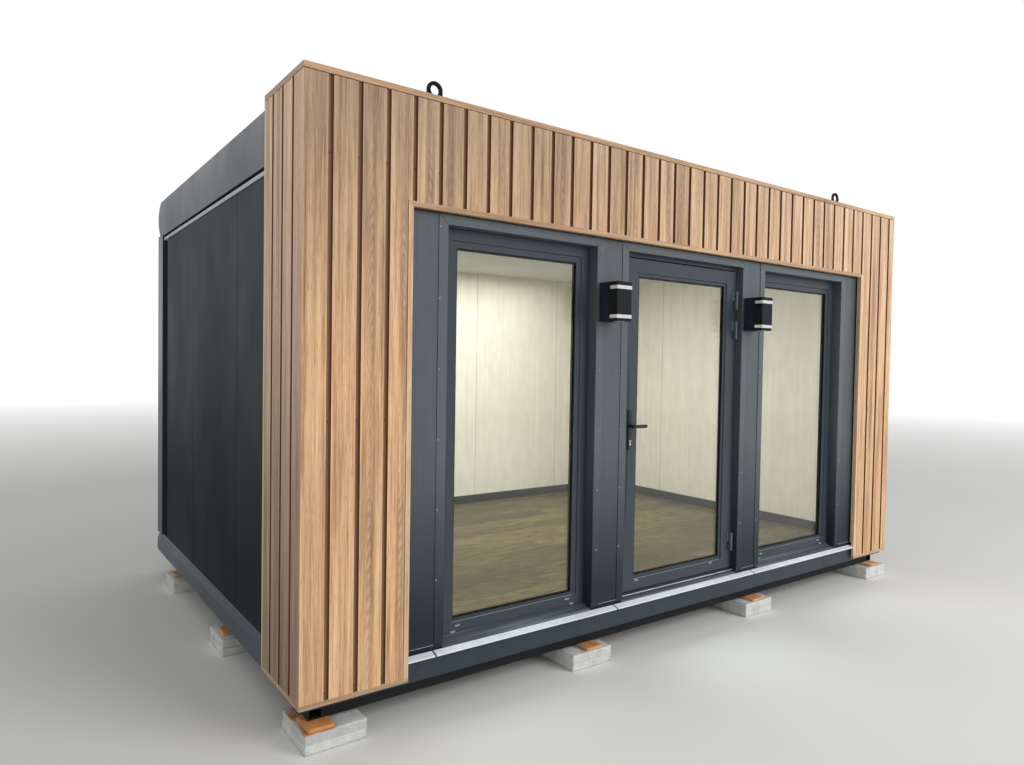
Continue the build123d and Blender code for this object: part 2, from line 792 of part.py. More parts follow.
def door_leaf():
    """Stiles and rails with a stepped bead, a glazing groove and the lock's bores."""
    leaf = slab(LEAF_LEFT, LEAF_RIGHT, DOOR_FACE, DOOR_BACK, LEAF_BOTTOM, LEAF_TOP)
    step = STILE_WIDTH - DOOR_BEAD
    leaf -= slab(
        LEAF_LEFT + step,
        LEAF_RIGHT - step,
        DOOR_FACE,
        DOOR_FACE + BEAD_SETBACK,
        LEAF_BOTTOM + BOTTOM_RAIL_WIDTH - DOOR_BEAD,
        LEAF_TOP - TOP_RAIL_WIDTH + DOOR_BEAD,
    )
    leaf -= slab(
        LEAF_LEFT + STILE_WIDTH,
        LEAF_RIGHT - STILE_WIDTH,
        DOOR_FACE,
        DOOR_BACK,
        LEAF_BOTTOM + BOTTOM_RAIL_WIDTH,
        LEAF_TOP - TOP_RAIL_WIDTH,
    )
    leaf -= glazing_slot(leaf_glass_box(), DOOR_GLASS_FRONT)
    leaf -= lock_bore(HANDLE_HEIGHT, SPINDLE_BORE, DOOR_FACE, LEAF_THICKNESS)
    leaf -= lock_bore(CYLINDER_HEIGHT, CYLINDER_RADIUS, DOOR_FACE, LEAF_THICKNESS)
    return [leaf]


def door_glass():
    """The door's sealed glass unit."""
    return [glazing_slot(leaf_glass_box(), DOOR_GLASS_FRONT)]


def lock_bore(height, radius, start, length):
    """A round bar along y on the handle's centre line."""
    return Pos(HANDLE_X, 0, height) * bar_along_y(radius, start, length)


def bar_along_y(radius, start, length):
    """A round bar from front to back."""
    foot = (Align.CENTER, Align.CENTER, Align.MIN)
    return Pos(0, start, 0) * Cylinder(radius, length, rotation=(-90, 0, 0), align=foot)


def handle_plate(front):
    """A long backplate with rounded ends, bored for the spindle and the cylinder."""
    plate = slab(
        HANDLE_X - PLATE_WIDTH / 2,
        HANDLE_X + PLATE_WIDTH / 2,
        front,
        front + PLATE_THICKNESS,
        HANDLE_HEIGHT - PLATE_BELOW_LEVER,
        HANDLE_HEIGHT + PLATE_ABOVE_LEVER,
    )
    plate = fillet(plate.edges().filter_by(Axis.Y), PLATE_ROUND)
    plate -= lock_bore(HANDLE_HEIGHT, SPINDLE_BORE, front, PLATE_THICKNESS)
    plate -= lock_bore(CYLINDER_HEIGHT, CYLINDER_RADIUS, front, PLATE_THICKNESS)
    return plate


def handle_plates():
    """The backplates on both faces of the leaf."""
    return [handle_plate(DOOR_FACE - PLATE_THICKNESS), handle_plate(DOOR_BACK)]


def lever_bar(front):
    """The lever's grip, which points to the hinges."""
    half = LEVER_HEIGHT / 2
    grip = slab(
        HANDLE_X - half,
        HANDLE_X - half + LEVER_LENGTH,
        front,
        front + LEVER_THICKNESS,
        HANDLE_HEIGHT - half,
        HANDLE_HEIGHT + half,
    )
    return fillet(grip.edges().filter_by(Axis.Y), LEVER_ROUND)


def door_lever():
    """Both levers on one spindle, which passes through the leaf."""
    start = DOOR_FACE - PLATE_THICKNESS
    end = DOOR_BACK + PLATE_THICKNESS
    reach = LEVER_PROUD - LEVER_THICKNESS
    neck = reach - LEVER_CLEARANCE
    lever = lever_bar(start - LEVER_PROUD)
    lever += lock_bore(HANDLE_HEIGHT, LEVER_NECK_RADIUS, start - reach, neck)
    lever += lock_bore(HANDLE_HEIGHT, SPINDLE_RADIUS, start - reach, end - start + 2 * reach)
    lever += lock_bore(HANDLE_HEIGHT, LEVER_NECK_RADIUS, end + LEVER_CLEARANCE, neck)
    lever += lever_bar(end + reach)
    return [lever]


def lock_cylinder():
    """The key cylinder, proud of both backplates."""
    start = DOOR_FACE - PLATE_THICKNESS - CYLINDER_PROUD
    length = LEAF_THICKNESS + 2 * (PLATE_THICKNESS + CYLINDER_PROUD)
    radius = CYLINDER_RADIUS - CYLINDER_FIT
    return [lock_bore(CYLINDER_HEIGHT, radius, start, length)]


def hinge_knuckle(bottom, top, radius):
    """A round part of a hinge on the door's axis."""
    bar = Cylinder(radius, top - bottom, align=(Align.CENTER, Align.CENTER, Align.MIN))
    return Pos(HINGE_X, HINGE_Y, bottom) * bar


def fixed_hinge(bottom, middle, top):
    """A hinge's lower knuckle, its pin and the leaf on the frame."""
    half = hinge_knuckle(bottom, middle, HINGE_RADIUS)
    half += hinge_knuckle(middle, top - HINGE_CAP, HINGE_PIN_RADIUS)
    half += slab(HINGE_X, HINGE_X + HINGE_SHEET, HINGE_Y, DOOR_FRAME_FRONT, bottom, middle)
    leaf_front = DOOR_FRAME_FRONT - HINGE_SHEET
    return half + slab(HINGE_X, HINGE_X + HINGE_LEAF, leaf_front, DOOR_FRAME_FRONT, bottom, middle)


def moving_hinge(start, top):
    """A hinge's upper knuckle, closed over the pin, and its leaf on the door."""
    half = hinge_knuckle(start, top, HINGE_RADIUS)
    half += slab(HINGE_X - HINGE_SHEET, HINGE_X, HINGE_Y, DOOR_FACE, start, top)
    half += slab(HINGE_X - HINGE_LEAF, HINGE_X, DOOR_FACE - HINGE_SHEET, DOOR_FACE, start, top)
    return half - hinge_knuckle(start, top - HINGE_CAP + PIN_END_GAP, HINGE_PIN_RADIUS + PIN_FIT)


def hinge_halves():
    """Three hinges, each as a fixed and a moving half."""
    fixed = []
    moving = []
    for bottom in HINGE_BOTTOMS:
        middle = bottom + HINGE_HEIGHT / 2
        top = bottom + HINGE_HEIGHT
        fixed.append(fixed_hinge(bottom, middle, top))
        moving.append(moving_hinge(middle + KNUCKLE_GAP, top))
    return fixed, moving


# Roof

def wall_lip():
    """The pale lip along the top of the side and rear walls, cut away at the rear posts."""
    top = WALL_TOP + LIP_HEIGHT
    x0 = WALL_SKIN - LIP_PROUD
    x1 = WALL_SKIN + LIP_WIDTH
    rear = REAR_SKIN + LIP_PROUD
    lip = slab(x0, WIDTH - x0, FRONT_SKIN, rear, WALL_TOP, top)
    lip -= slab(x1, WIDTH - x1, FRONT_SKIN, REAR_SKIN - LIP_WIDTH, WALL_TOP, top)
    side_edge = REAR_FACE - POST_FACE_WIDTH
    rear_edge = SIDE_FACE + POST_FACE_WIDTH
    corner = slab(SIDE_FACE, rear_edge, side_edge, REAR_FACE, WALL_TOP, top)
    return [lip - corner - handed(corner)]


def fascia_section(face):
    """The rolled roof edge: a bellied face, a rounded top and a lip over the roof."""
    foot = face + FASCIA_BULGE
    top = FASCIA_TOP
    shoulder = top - FASCIA_ROLL
    belly = (FASCIA_BOTTOM + shoulder) / 2
    back = face + FASCIA_DEPTH
    rise = FASCIA_ROLL * (1 - math.sqrt(0.5))
    path = Polyline((back, FASCIA_BOTTOM), (foot, FASCIA_BOTTOM))
    path += ThreePointArc((foot, FASCIA_BOTTOM), (face, belly), (foot, shoulder))
    path += ThreePointArc((foot, shoulder), (foot + rise, top - rise), (foot + FASCIA_ROLL, top))
    path += Polyline((foot + FASCIA_ROLL, top), (back, top), (back, top - FASCIA_LIP))
    return sheet_section(path, FASCIA_SHEET)


def side_fascias():
    """The roof edges over the side walls, mitred at both ends."""
    edge = along_y(fascia_section(SIDE_FACE), FRONT_SKIN, REAR_FACE)
    return pair(edge & edge_wedge(FRONT_SKIN, REAR_FACE, FASCIA_DEPTH))


def rear_fascia():
    """The roof edge over the rear wall."""
    edge = along_x(fascia_section(0), SIDE_FACE, WIDTH - SIDE_FACE)
    turned = Pos(0, REAR_FACE, 0) * mirror(edge, about=Plane.XZ)
    return [turned & end_wedge(REAR_FACE, REAR_FACE - FASCIA_DEPTH, FASCIA_DEPTH)]


def front_roof_beam():
    """The flat roof edge behind the cladding's header."""
    back = FRONT_SKIN + FASCIA_DEPTH
    path = Polyline(
        (back, FASCIA_BOTTOM),
        (FRONT_SKIN, FASCIA_BOTTOM),
        (FRONT_SKIN, FASCIA_TOP),
        (back, FASCIA_TOP),
        (back, FASCIA_TOP - FASCIA_LIP),
    )
    beam = along_x(sheet_section(path, FASCIA_SHEET), SIDE_FACE, WIDTH - SIDE_FACE)
    return [beam & end_wedge(FRONT_SKIN, FRONT_SKIN + FASCIA_DEPTH, FASCIA_DEPTH)]


def ceiling():
    """The ceiling board, which rests on the walls inside their lip."""
    edge = WALL_SKIN + LIP_WIDTH
    rear = REAR_SKIN - LIP_WIDTH
    return [slab(edge, WIDTH - edge, FRONT_SKIN, rear, WALL_TOP, WALL_TOP + LIP_HEIGHT)]


def roof_frame():
    """A ring set back over the walls, with purlins across it."""
    bottom = WALL_TOP + LIP_HEIGHT
    x0 = SIDE_FACE + ROOF_RING_SETBACK
    x1 = WIDTH - x0
    y0 = FRONT_SKIN
    y1 = REAR_FACE - ROOF_RING_SETBACK
    ring = slab(x0, x1, y0, y1, bottom, FASCIA_BOTTOM)
    ring -= slab(
        x0 + ROOF_RING_WIDTH,
        x1 - ROOF_RING_WIDTH,
        y0 + ROOF_RING_WIDTH,
        y1 - ROOF_RING_WIDTH,
        bottom,
        FASCIA_BOTTOM,
    )
    spacing = (y1 - y0) / (PURLIN_COUNT + 1)
    for number in range(1, PURLIN_COUNT + 1):
        middle = y0 + number * spacing
        ring += slab(
            x0 + ROOF_RING_WIDTH,
            x1 - ROOF_RING_WIDTH,
            middle - PURLIN_WIDTH / 2,
            middle + PURLIN_WIDTH / 2,
            bottom,
            FASCIA_BOTTOM,
        )
    return [ring]


def roof_sheet():
    """A ribbed roof sheet inside the raised edges."""
    edge = SIDE_FACE + FASCIA_DEPTH + ROOF_EDGE_CLEARANCE
    span = WIDTH - 2 * edge
    ribs = int(span // ROOF_RIB_PITCH)
    margin = (span - (ribs - 1) * ROOF_RIB_PITCH) / 2
    low = FASCIA_BOTTOM + ROOF_SHEET
    high = low + ROOF_RIB_HEIGHT
    points = [(edge, low)]
    for number in range(ribs):
        centre = edge + margin + number * ROOF_RIB_PITCH
        crown = ROOF_RIB_CROWN / 2
        foot = crown + ROOF_RIB_FLANK
        points += [
            (centre - foot, low),
            (centre - crown, high),
            (centre + crown, high),
            (centre + foot, low),
        ]
    points.append((WIDTH - edge, low))
    section = sheet_section(Polyline(*points), ROOF_SHEET)
    start = FRONT_SKIN + FASCIA_DEPTH + ROOF_EDGE_CLEARANCE
    end = REAR_FACE - FASCIA_DEPTH - ROOF_EDGE_CLEARANCE
    return [along_y(section, start, end)]


def eye_plate(left, front):
    """An arched plate with a round hole."""
    middle = left + EYE_WIDTH / 2
    centre = EYE_TOP - EYE_WIDTH / 2
    plate = slab(left, left + EYE_WIDTH, front, front + EYE_THICKNESS, FASCIA_TOP, centre)
    plate += Pos(middle, 0, centre) * bar_along_y(EYE_WIDTH / 2, front, EYE_THICKNESS)
    return plate - Pos(middle, 0, centre) * bar_along_y(EYE_HOLE, front, EYE_THICKNESS)


def lifting_eyes():
    """Four lifting eyes on the roof's long edges."""
    front = FRONT_SKIN + FASCIA_DEPTH - EYE_INSET - EYE_THICKNESS
    rear = REAR_FACE - FASCIA_DEPTH + EYE_INSET
    return pair(eye_plate(EYE_X, front)) + pair(eye_plate(EYE_X, rear))


# Timber cladding

def groove_plan(centre):
    """The plan of one groove between boards, cut from the face at depth zero."""
    mouth = GROOVE_WIDTH / 2
    floor = GROOVE_FLOOR / 2
    return (
        (centre - mouth, 0),
        (centre - floor, GROOVE_DEPTH),
        (centre + floor, GROOVE_DEPTH),
        (centre + mouth, 0),
    )


def grooves(first, start, end):
    """The centres of the grooves that reach between two edges."""
    centres = []
    centre = first
    while centre < end + GROOVE_WIDTH / 2:
        if centre > start:
            centres.append(centre)
        centre += BOARD_PITCH
    return centres


def cap_rebate(x0, x1, y0, y1):
    """The shallow step under the cap, cut from the top of the boards."""
    return slab(x0, x1, y0, y1, CLAD_TOP - REBATE_WIDTH, CLAD_TOP)


def front_boards(start, end, bottom):
    """Upright boards on the front, from a height to the cap."""
    boards = slab(start, end, 0, CLAD_THICKNESS, bottom, CLAD_TOP)
    for centre in grooves(FIRST_GROOVE, start, end):
        boards -= upright(groove_plan(centre), bottom, CLAD_TOP)
    return boards - cap_rebate(start, end, 0, REBATE_DEPTH)


def cladding_legs():
    """The boards at each side of the portal; the left ones have a rebate beside the trim."""
    bottom = CLAD_BOTTOM + BASE_TRIM_HEIGHT
    top = PORTAL_TOP + TRIM_WIDTH
    edge = PORTAL[0] - TRIM_WIDTH
    corner = cap_rebate(0, REBATE_DEPTH, 0, CLAD_THICKNESS)
    left = front_boards(0, edge, bottom) - corner
    left -= slab(edge - REBATE_WIDTH, edge, 0, REBATE_DEPTH, bottom, top)
    right = front_boards(PORTAL[1] + TRIM_WIDTH, WIDTH, bottom) - handed(corner)
    return [left, right]


def cladding_header():
    """The boards over the portal's opening."""
    start = PORTAL[0] - TRIM_WIDTH
    end = PORTAL[1] + TRIM_WIDTH
    return [front_boards(start, end, PORTAL_TOP + TRIM_WIDTH)]


def cladding_returns():
    """The boards that turn the corner onto the side walls."""
    bottom = CLAD_BOTTOM + BASE_TRIM_HEIGHT
    end = RETURN_DEPTH - RETURN_TRIM
    boards = slab(0, CLAD_THICKNESS, CLAD_THICKNESS, end, bottom, CLAD_TOP)
    for centre in grooves(RETURN_FIRST_GROOVE, CLAD_THICKNESS, end):
        plan = [(depth, along) for along, depth in groove_plan(centre)]
        boards -= upright(plan, bottom, CLAD_TOP)
    return pair(boards - cap_rebate(0, REBATE_DEPTH, CLAD_THICKNESS, end))


def return_trims():
    """The upright edge trim at the back of each return."""
    trim = slab(
        0,
        CLAD_THICKNESS,
        RETURN_DEPTH - RETURN_TRIM,
        RETURN_DEPTH,
        CLAD_BOTTOM + BASE_TRIM_HEIGHT,
        CLAD_TOP,
    )
    return pair(trim - cap_rebate(0, REBATE_DEPTH, RETURN_DEPTH - RETURN_TRIM, RETURN_DEPTH))


def cladding_cap():
    """The cap along the top of the portal and its returns."""
    top = CLAD_TOP + CAP_HEIGHT
    outer = slab(0, WIDTH, 0, RETURN_DEPTH, CLAD_TOP, top)
    return [outer - slab(RETURN_CAP, WIDTH - RETURN_CAP, WALL_SKIN, RETURN_DEPTH, CLAD_TOP, top)]


def cladding_base_trims():
    """The trim under the boards at each corner."""
    return [base_trim(LEFT_LEG_WIDTH), handed(base_trim(RIGHT_LEG_WIDTH))]


def base_trim(leg):
    """The trim under a left leg and its return."""
    top = CLAD_BOTTOM + BASE_TRIM_HEIGHT
    trim = slab(0, leg, 0, CLAD_THICKNESS, CLAD_BOTTOM, top)
    return trim + slab(0, CLAD_THICKNESS, CLAD_THICKNESS, RETURN_DEPTH, CLAD_BOTTOM, top)


def jamb_trim(leg):
    """The upright trim beside a left leg, mitred at its head and thinner over the base rail."""
    edge = leg - TRIM_WIDTH
    bottom = CLAD_BOTTOM + BASE_TRIM_HEIGHT
    outline = (
        (edge, bottom),
        (leg, bottom),
        (leg, PORTAL_TOP - MITRE_GAP),
        (edge, PORTAL_TOP + TRIM_WIDTH - MITRE_GAP),
    )
    jamb = facing(outline, 0, TRIM_DEPTH)
    return jamb - slab(0, leg, CLAD_THICKNESS, TRIM_DEPTH, bottom, FRONT_WALL_FOOT)


def opening_trims():
    """The mitred trim round the portal's opening, which stands off the wall."""
    left, right = PORTAL
    head = (
        (left, PORTAL_TOP),
        (right, PORTAL_TOP),
        (right + TRIM_WIDTH, PORTAL_TOP + TRIM_WIDTH),
        (left - TRIM_WIDTH, PORTAL_TOP + TRIM_WIDTH),
    )
    jambs = [jamb_trim(LEFT_LEG_WIDTH), handed(jamb_trim(RIGHT_LEG_WIDTH))]
    return jambs + [facing(head, 0, TRIM_DEPTH)]


def facing(points, start, end):
    """A front outline given as x and height, run from front to back."""
    outline = make_face(Polyline(*points, close=True))
    return Pos(0, start, 0) * extrude(Plane.XZ * outline, end - start, dir=(0, 1, 0))


def leg_battens(leg):
    """The battens behind a left leg, evenly spaced."""
    last = leg - TRIM_WIDTH - BATTEN_GAP - BATTEN_WIDTH
    step = (last - BATTEN_EDGE) / (LEG_BATTENS - 1)
    battens = []
    for number in range(LEG_BATTENS):
        x0 = BATTEN_EDGE + number * step
        x1 = x0 + BATTEN_WIDTH
        battens.append(slab(x0, x1, CLAD_THICKNESS, FRONT_SKIN, FRONT_WALL_FOOT, WALL_TOP))
    return battens


def cladding_battens():
    """Battens that hold the boards off the walls."""
    battens = leg_battens(LEFT_LEG_WIDTH)
    battens += [handed(batten) for batten in leg_battens(RIGHT_LEG_WIDTH)]
    for y0 in (BATTEN_EDGE, RETURN_DEPTH - RETURN_TRIM - BATTEN_GAP - BATTEN_WIDTH):
        y1 = y0 + BATTEN_WIDTH
        battens += pair(slab(CLAD_THICKNESS, WALL_SKIN, y0, y1, WALL_BOTTOM, WALL_TOP))
    lowest = PORTAL_TOP + TRIM_WIDTH + BATTEN_GAP
    highest = CLAD_TOP - BATTEN_GAP - BATTEN_WIDTH
    for z0 in (lowest, WALL_TOP - BATTEN_GAP - BATTEN_WIDTH, highest):
        z1 = z0 + BATTEN_WIDTH
        battens.append(slab(*PORTAL, CLAD_THICKNESS, FRONT_SKIN, z0, z1))
    return battens


# Drip cill

def cill_back():
    """Where the drip cill meets the sills, just behind the top of the front rail's chamfer."""
    return FRONT_FACE + chamfer_run(FRONT_RAIL_TOP) + CILL_LAP


def drip_cill():
    """A sloping cill in lengths, with an open joint between them."""
    path = Polyline((0, CILL_FRONT_Z - CILL_DROP), (0, CILL_FRONT_Z), (cill_back(), CILL_BACK_Z))
    section = sheet_section(path, CILL_SHEET)
    joints = [opening[0] - before for opening, before in zip(OPENINGS, CILL_JOINTS_BEFORE)]
    starts = [PORTAL[0]] + [joint + CILL_GAP / 2 for joint in joints]
    ends = [joint - CILL_GAP / 2 for joint in joints] + [PORTAL[1]]
    return [along_x(section, start, end) for start, end in zip(starts, ends)]


# Wall lights

def light_block(left, front, back, bottom=LIGHT_BOTTOM, top=LIGHT_TOP):
    """A block as wide as a wall light."""
    return slab(left, left + LIGHT_WIDTH, front, back, bottom, top)


def light_mounts():
    """The mounting boxes on the wall."""
    front = WALL_SKIN - LIGHT_BOX_DEPTH
    return [light_block(left, front, WALL_SKIN) for left in LIGHT_LEFT_EDGES]


def light_bodies():
    """The fittings in front of the mounting boxes."""
    back = WALL_SKIN - LIGHT_BOX_DEPTH
    return [light_block(left, LIGHT_FRONT, back) for left in LIGHT_LEFT_EDGES]


def light_bands():
    """Two bright bands round each fitting."""
    bands = []
    back = WALL_SKIN - LIGHT_BOX_DEPTH
    for left in LIGHT_LEFT_EDGES:
        for centre in BAND_CENTRES:
            bottom = centre - BAND_HEIGHT / 2
            top = centre + BAND_HEIGHT / 2
            x0 = left - BAND_THICKNESS
            x1 = left + LIGHT_WIDTH + BAND_THICKNESS
            band = slab(x0, x1, BAND_FRONT, back - BAND_STOP, bottom, top)
            bands.append(band - light_block(left, LIGHT_FRONT, back))
    return bands


def build():
    """Writes every node."""
    os.makedirs("parts", exist_ok=True)
    fixed_hinges, moving_hinges = hinge_halves()
    nodes = {
        "support_blocks": support_blocks(),
        "timber_shims": timber_shims(),
        "underframe_side_beams": underframe_side_beams(),
        "underframe_end_beams": underframe_end_beams(),
        "floor_joists": floor_joists(),
        "side_base_rails": side_base_rails(),
        "end_base_rails": end_base_rails(),
        "floor_deck": floor_deck(),
        "skirting": skirting(),
        "side_walls": pair(side_wall()),
        "rear_wall": rear_wall(),
        "rear_corner_posts": rear_corner_posts(),
        "front_panels": front_panels(),
        "front_header": front_header(),
        "opening_surrounds": [surround(opening) for opening in OPENINGS],
        "window_and_door_sills": sills(),
        "window_frames": window_frame(WINDOW_LEFT) + window_frame(WINDOW_RIGHT),
        "window_glass": window_glass(WINDOW_LEFT) + window_glass(WINDOW_RIGHT),
        "door_frame": door_frame(),
        "door_leaf": door_leaf(),
        "door_glass": door_glass(),
        "door_handle_plates": handle_plates(),
        "door_lever": door_lever(),
        "lock_cylinder": lock_cylinder(),
        "hinge_frame_halves": fixed_hinges,
        "hinge_door_halves": moving_hinges,
        "wall_lip": wall_lip(),
        "ceiling": ceiling(),
        "roof_frame": roof_frame(),
        "roof_sheet": roof_sheet(),
        "side_fascias": side_fascias(),
        "rear_fascia": rear_fascia(),
        "front_roof_beam": front_roof_beam(),
        "lifting_eyes": lifting_eyes(),
        "cladding_legs": cladding_legs(),
        "cladding_header": cladding_header(),
        "cladding_returns": cladding_returns(),
        "cladding_cap": cladding_cap(),
        "cladding_base_trims": cladding_base_trims(),
        "cladding_edge_trims": opening_trims() + return_trims(),
        "cladding_battens": cladding_battens(),
        "drip_cill": drip_cill(),
        "light_mounts": light_mounts(),
        "light_bodies": light_bodies(),
        "light_bands": light_bands(),
    }
    for name, shapes in nodes.items():
        save(name, shapes)


build()
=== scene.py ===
"""Dresses a portable office cabin: finishes, seals, fixings and blocks, with the camera and studio."""
import logging
import math
from dataclasses import dataclass
from enum import Enum
from typing import Any, Iterator, Sequence

import bmesh
import bpy
from mathutils import Matrix, Vector, noise


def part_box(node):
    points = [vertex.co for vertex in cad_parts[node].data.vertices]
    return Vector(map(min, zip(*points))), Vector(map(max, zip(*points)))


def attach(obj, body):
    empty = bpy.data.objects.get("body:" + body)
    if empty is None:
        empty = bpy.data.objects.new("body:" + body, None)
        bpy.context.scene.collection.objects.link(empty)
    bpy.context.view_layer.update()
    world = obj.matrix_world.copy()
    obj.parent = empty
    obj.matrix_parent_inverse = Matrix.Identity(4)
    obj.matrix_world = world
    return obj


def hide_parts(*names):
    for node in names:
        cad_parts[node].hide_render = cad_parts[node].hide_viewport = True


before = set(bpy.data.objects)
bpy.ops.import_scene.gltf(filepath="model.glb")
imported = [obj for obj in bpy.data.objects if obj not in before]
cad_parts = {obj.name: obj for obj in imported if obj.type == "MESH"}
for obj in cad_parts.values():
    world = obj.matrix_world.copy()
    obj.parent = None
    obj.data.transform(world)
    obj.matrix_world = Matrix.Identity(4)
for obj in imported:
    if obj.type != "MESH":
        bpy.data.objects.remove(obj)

LOG = logging.getLogger("cabin")
MM = 0.001
WELD = 0.01 * MM
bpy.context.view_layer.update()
# A span is a pattern's low and high level, and the two values that it turns them into
Span = tuple[float, float, float, float]
# A size is how long one repeat of a pattern is along x, y and z, in metres
Size = tuple[float, float, float]
# Feeds are the values, nodes and outputs that go to a shader's inputs, by the input's name
Feeds = dict[str, Any]
Piece = bpy.types.Object


# Colour, nodes and boxes

def linear(code: str) -> tuple[float, float, float, float]:
    """Turns an sRGB hex colour to a linear one.

    Args:
        code: the colour as six hex digits.

    Returns:
        Red, green and blue made linear, and an alpha of one.
    """
    channels = [int(code[place:place + 2], 16) / 255 for place in (0, 2, 4)]
    red, green, blue = (
        value / 12.92 if value <= 0.04045 else ((value + 0.055) / 1.055) ** 2.4 for value in channels
    )
    return red, green, blue, 1.0


def feed(node: bpy.types.Node, inputs: Any) -> None:
    """Sets or links a node's inputs.

    Args:
        node: the node.
        inputs: by name, by number or in order, a value, a hex colour, or the node or output to link.
    """
    for key, value in inputs.items() if isinstance(inputs, dict) else enumerate(inputs):
        if isinstance(value, bpy.types.Node):
            value = next(output for output in value.outputs if output.enabled)
        if isinstance(value, bpy.types.NodeSocket):
            node.id_data.links.new(value, node.inputs[key])
        else:
            node.inputs[key].default_value = linear(value) if isinstance(value, str) else value


class Nodes:
    """A node tree in the making."""

    tree: bpy.types.NodeTree

    def start(self, owner: Any) -> None:
        """Takes the tree of a material or a world and empties it.

        Args:
            owner: the material or the world.
        """
        owner.use_nodes = True
        self.tree = owner.node_tree
        self.tree.nodes.clear()

    def add(self, kind: str, inputs: Any = (), size: Size | None = None, **settings: Any) -> Any:
        """Adds a node with its settings and links.

        Args:
            kind: the node's type name, without ShaderNode or GeometryNode before it.
            inputs: what feeds it, as feed takes it.
            size: the real size of a texture's pattern.
            settings: the node's own properties; stops holds a ramp's places and hex colours.

        Returns:
            The new node.
        """
        names = (f"ShaderNode{kind}", f"GeometryNode{kind}", kind)
        made = self.tree.nodes.new(next(name for name in names if hasattr(bpy.types, name)))
        stops = settings.pop("stops", ())
        for name, value in settings.items():
            setattr(made, name, value)
        if stops:
            ramp = made.color_ramp.elements
            for _ in stops[2:]:
                ramp.new(0.5)
            for element, (place, code) in zip(ramp, stops):
                element.position = place
                element.color = linear(code)
        if size:
            feed(made, {"Vector": self.spread(size), "Scale": 1.0})
        feed(made, inputs)
        return made

    def axes(self) -> Any:
        """Gives the place on the object along each axis, by the axis's letter."""
        return self.add("SeparateXYZ", [self.add("TexCoord").outputs["Object"]]).outputs

    def spread(self, size: Size = (1.0, 1.0, 1.0), offset: Any = None) -> Any:
        """Gives object coordinates scaled to a pattern's real size.

        Args:
            size: the pattern's size, or a metre each way.
            offset: an output that shifts the pattern, or nothing.

        Returns:
            The node with the coordinates.
        """
        coordinates = self.add("TexCoord").outputs["Object"]
        if offset is not None:
            coordinates = self.add("VectorMath", (coordinates, offset))
        return self.add("Mapping", {"Vector": coordinates, "Scale": [1 / length for length in size]})

    def eye_rays(self) -> Any:
        """Tells the rays that the eye follows, straight, mirrored or through glass, from those that light.

        Returns:
            One for a ray of the eye, and else zero.
        """
        ray = self.add("LightPath").outputs
        seen = ray["Is Camera Ray"]
        for way in ("Is Glossy Ray", "Is Transmission Ray"):
            seen = self.add("Math", (seen, ray[way]), operation="MAXIMUM")
        return seen


@dataclass(frozen=True)
class Block:
    """A box between two corners, in metres."""

    low: Vector
    high: Vector

    @property
    def size(self) -> Vector:
        """The box's length along each axis."""
        return self.high - self.low

    @property
    def middle(self) -> Vector:
        """The box's centre."""
        return (self.low + self.high) / 2

    def loop(self, y: float, inset: float) -> list[Vector]:
        """The corners of an upright rectangle inside the box, at one depth.

        Args:
            y: its depth.
            inset: how far it stands in from the box's sides.

        Returns:
            Four corners.
        """
        x0, x1 = self.low.x + inset, self.high.x - inset
        z0, z1 = self.low.z + inset, self.high.z - inset
        return [Vector((x0, y, z0)), Vector((x1, y, z0)), Vector((x1, y, z1)), Vector((x0, y, z1))]


def level_run(start: float, end: float, y: float, z: float) -> list[Vector]:
    """The two ends of a level run along the front."""
    return [Vector((start, y, z)), Vector((end, y, z))]


def solid_boxes(node: str) -> list[Block]:
    """Finds the box of each separate solid in a node, from left to right.

    Args:
        node: the node's name.

    Returns:
        One box for each solid, ordered by x, then y, then z.
    """
    mesh = bmesh.new()
    mesh.from_mesh(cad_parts[node].data)
    bmesh.ops.remove_doubles(mesh, verts=mesh.verts, dist=WELD)
    unseen = set(mesh.verts)
    boxes = []
    while unseen:
        queue = [unseen.pop()]
        group = []
        while queue:
            vertex = queue.pop()
            group.append(vertex.co)
            near = {edge.other_vert(vertex) for edge in vertex.link_edges} & unseen
            unseen -= near
            queue += near
        low, high = (Vector(pick(point[axis] for point in group) for axis in range(3)) for pick in (min, max))
        boxes.append(Block(low, high))
    mesh.free()
    return sorted(boxes, key=lambda box: tuple(round(value, 4) for value in box.low))


# Finishes

class Grain(Enum):
    """Which way a wood grain runs."""

    UPRIGHT = "upright"
    LEVEL = "level"


class Axis(Enum):
    """The axis that boards are laid along."""

    X = "X"
    Y = "Y"


@dataclass
class Finish(Nodes):
    """A surface: its name, its plain shader values, and how far its roughness varies."""

    name: str
    roughness: float = 0.5
    metallic: float = 0.0
    ior: float = 1.5
    # How far the roughness goes below and above its value, and the levels of the pattern where it does
    uneven: tuple[float, float] = (-0.05, 0.07)
    gloss_levels: tuple[float, float] = (0.3, 0.7)
    smoothest: float = 0.02

    @property
    def gloss(self) -> tuple[float, float]:
        """The least and the greatest roughness where it varies over the surface."""
        return max(self.roughness + self.uneven[0], self.smoothest), self.roughness + self.uneven[1]

    def make(self) -> bpy.types.Material:
        """Builds the material, or returns it if it is there already.

        Returns:
            The material.
        """
        known = bpy.data.materials.get(self.name)
        if known:
            return known
        material = bpy.data.materials.new(self.name)
        self.start(material)
        values = {"Metallic": self.metallic, "Roughness": self.roughness}
        if not self.metallic:
            values["IOR"] = self.ior
        shader = self.add("BsdfPrincipled", values)
        feed(shader, self.paint())
        self.add("OutputMaterial", {"Surface": self.cover(shader)})
        return material

    def paint(self) -> Feeds:
        """Adds what varies over the surface, and gives it by the name of the shader's input."""
        raise NotImplementedError

    def cover(self, shader: Any) -> Any:
        """Gives the surface's last node, which is the shader unless a finish mixes in more."""
        return shader


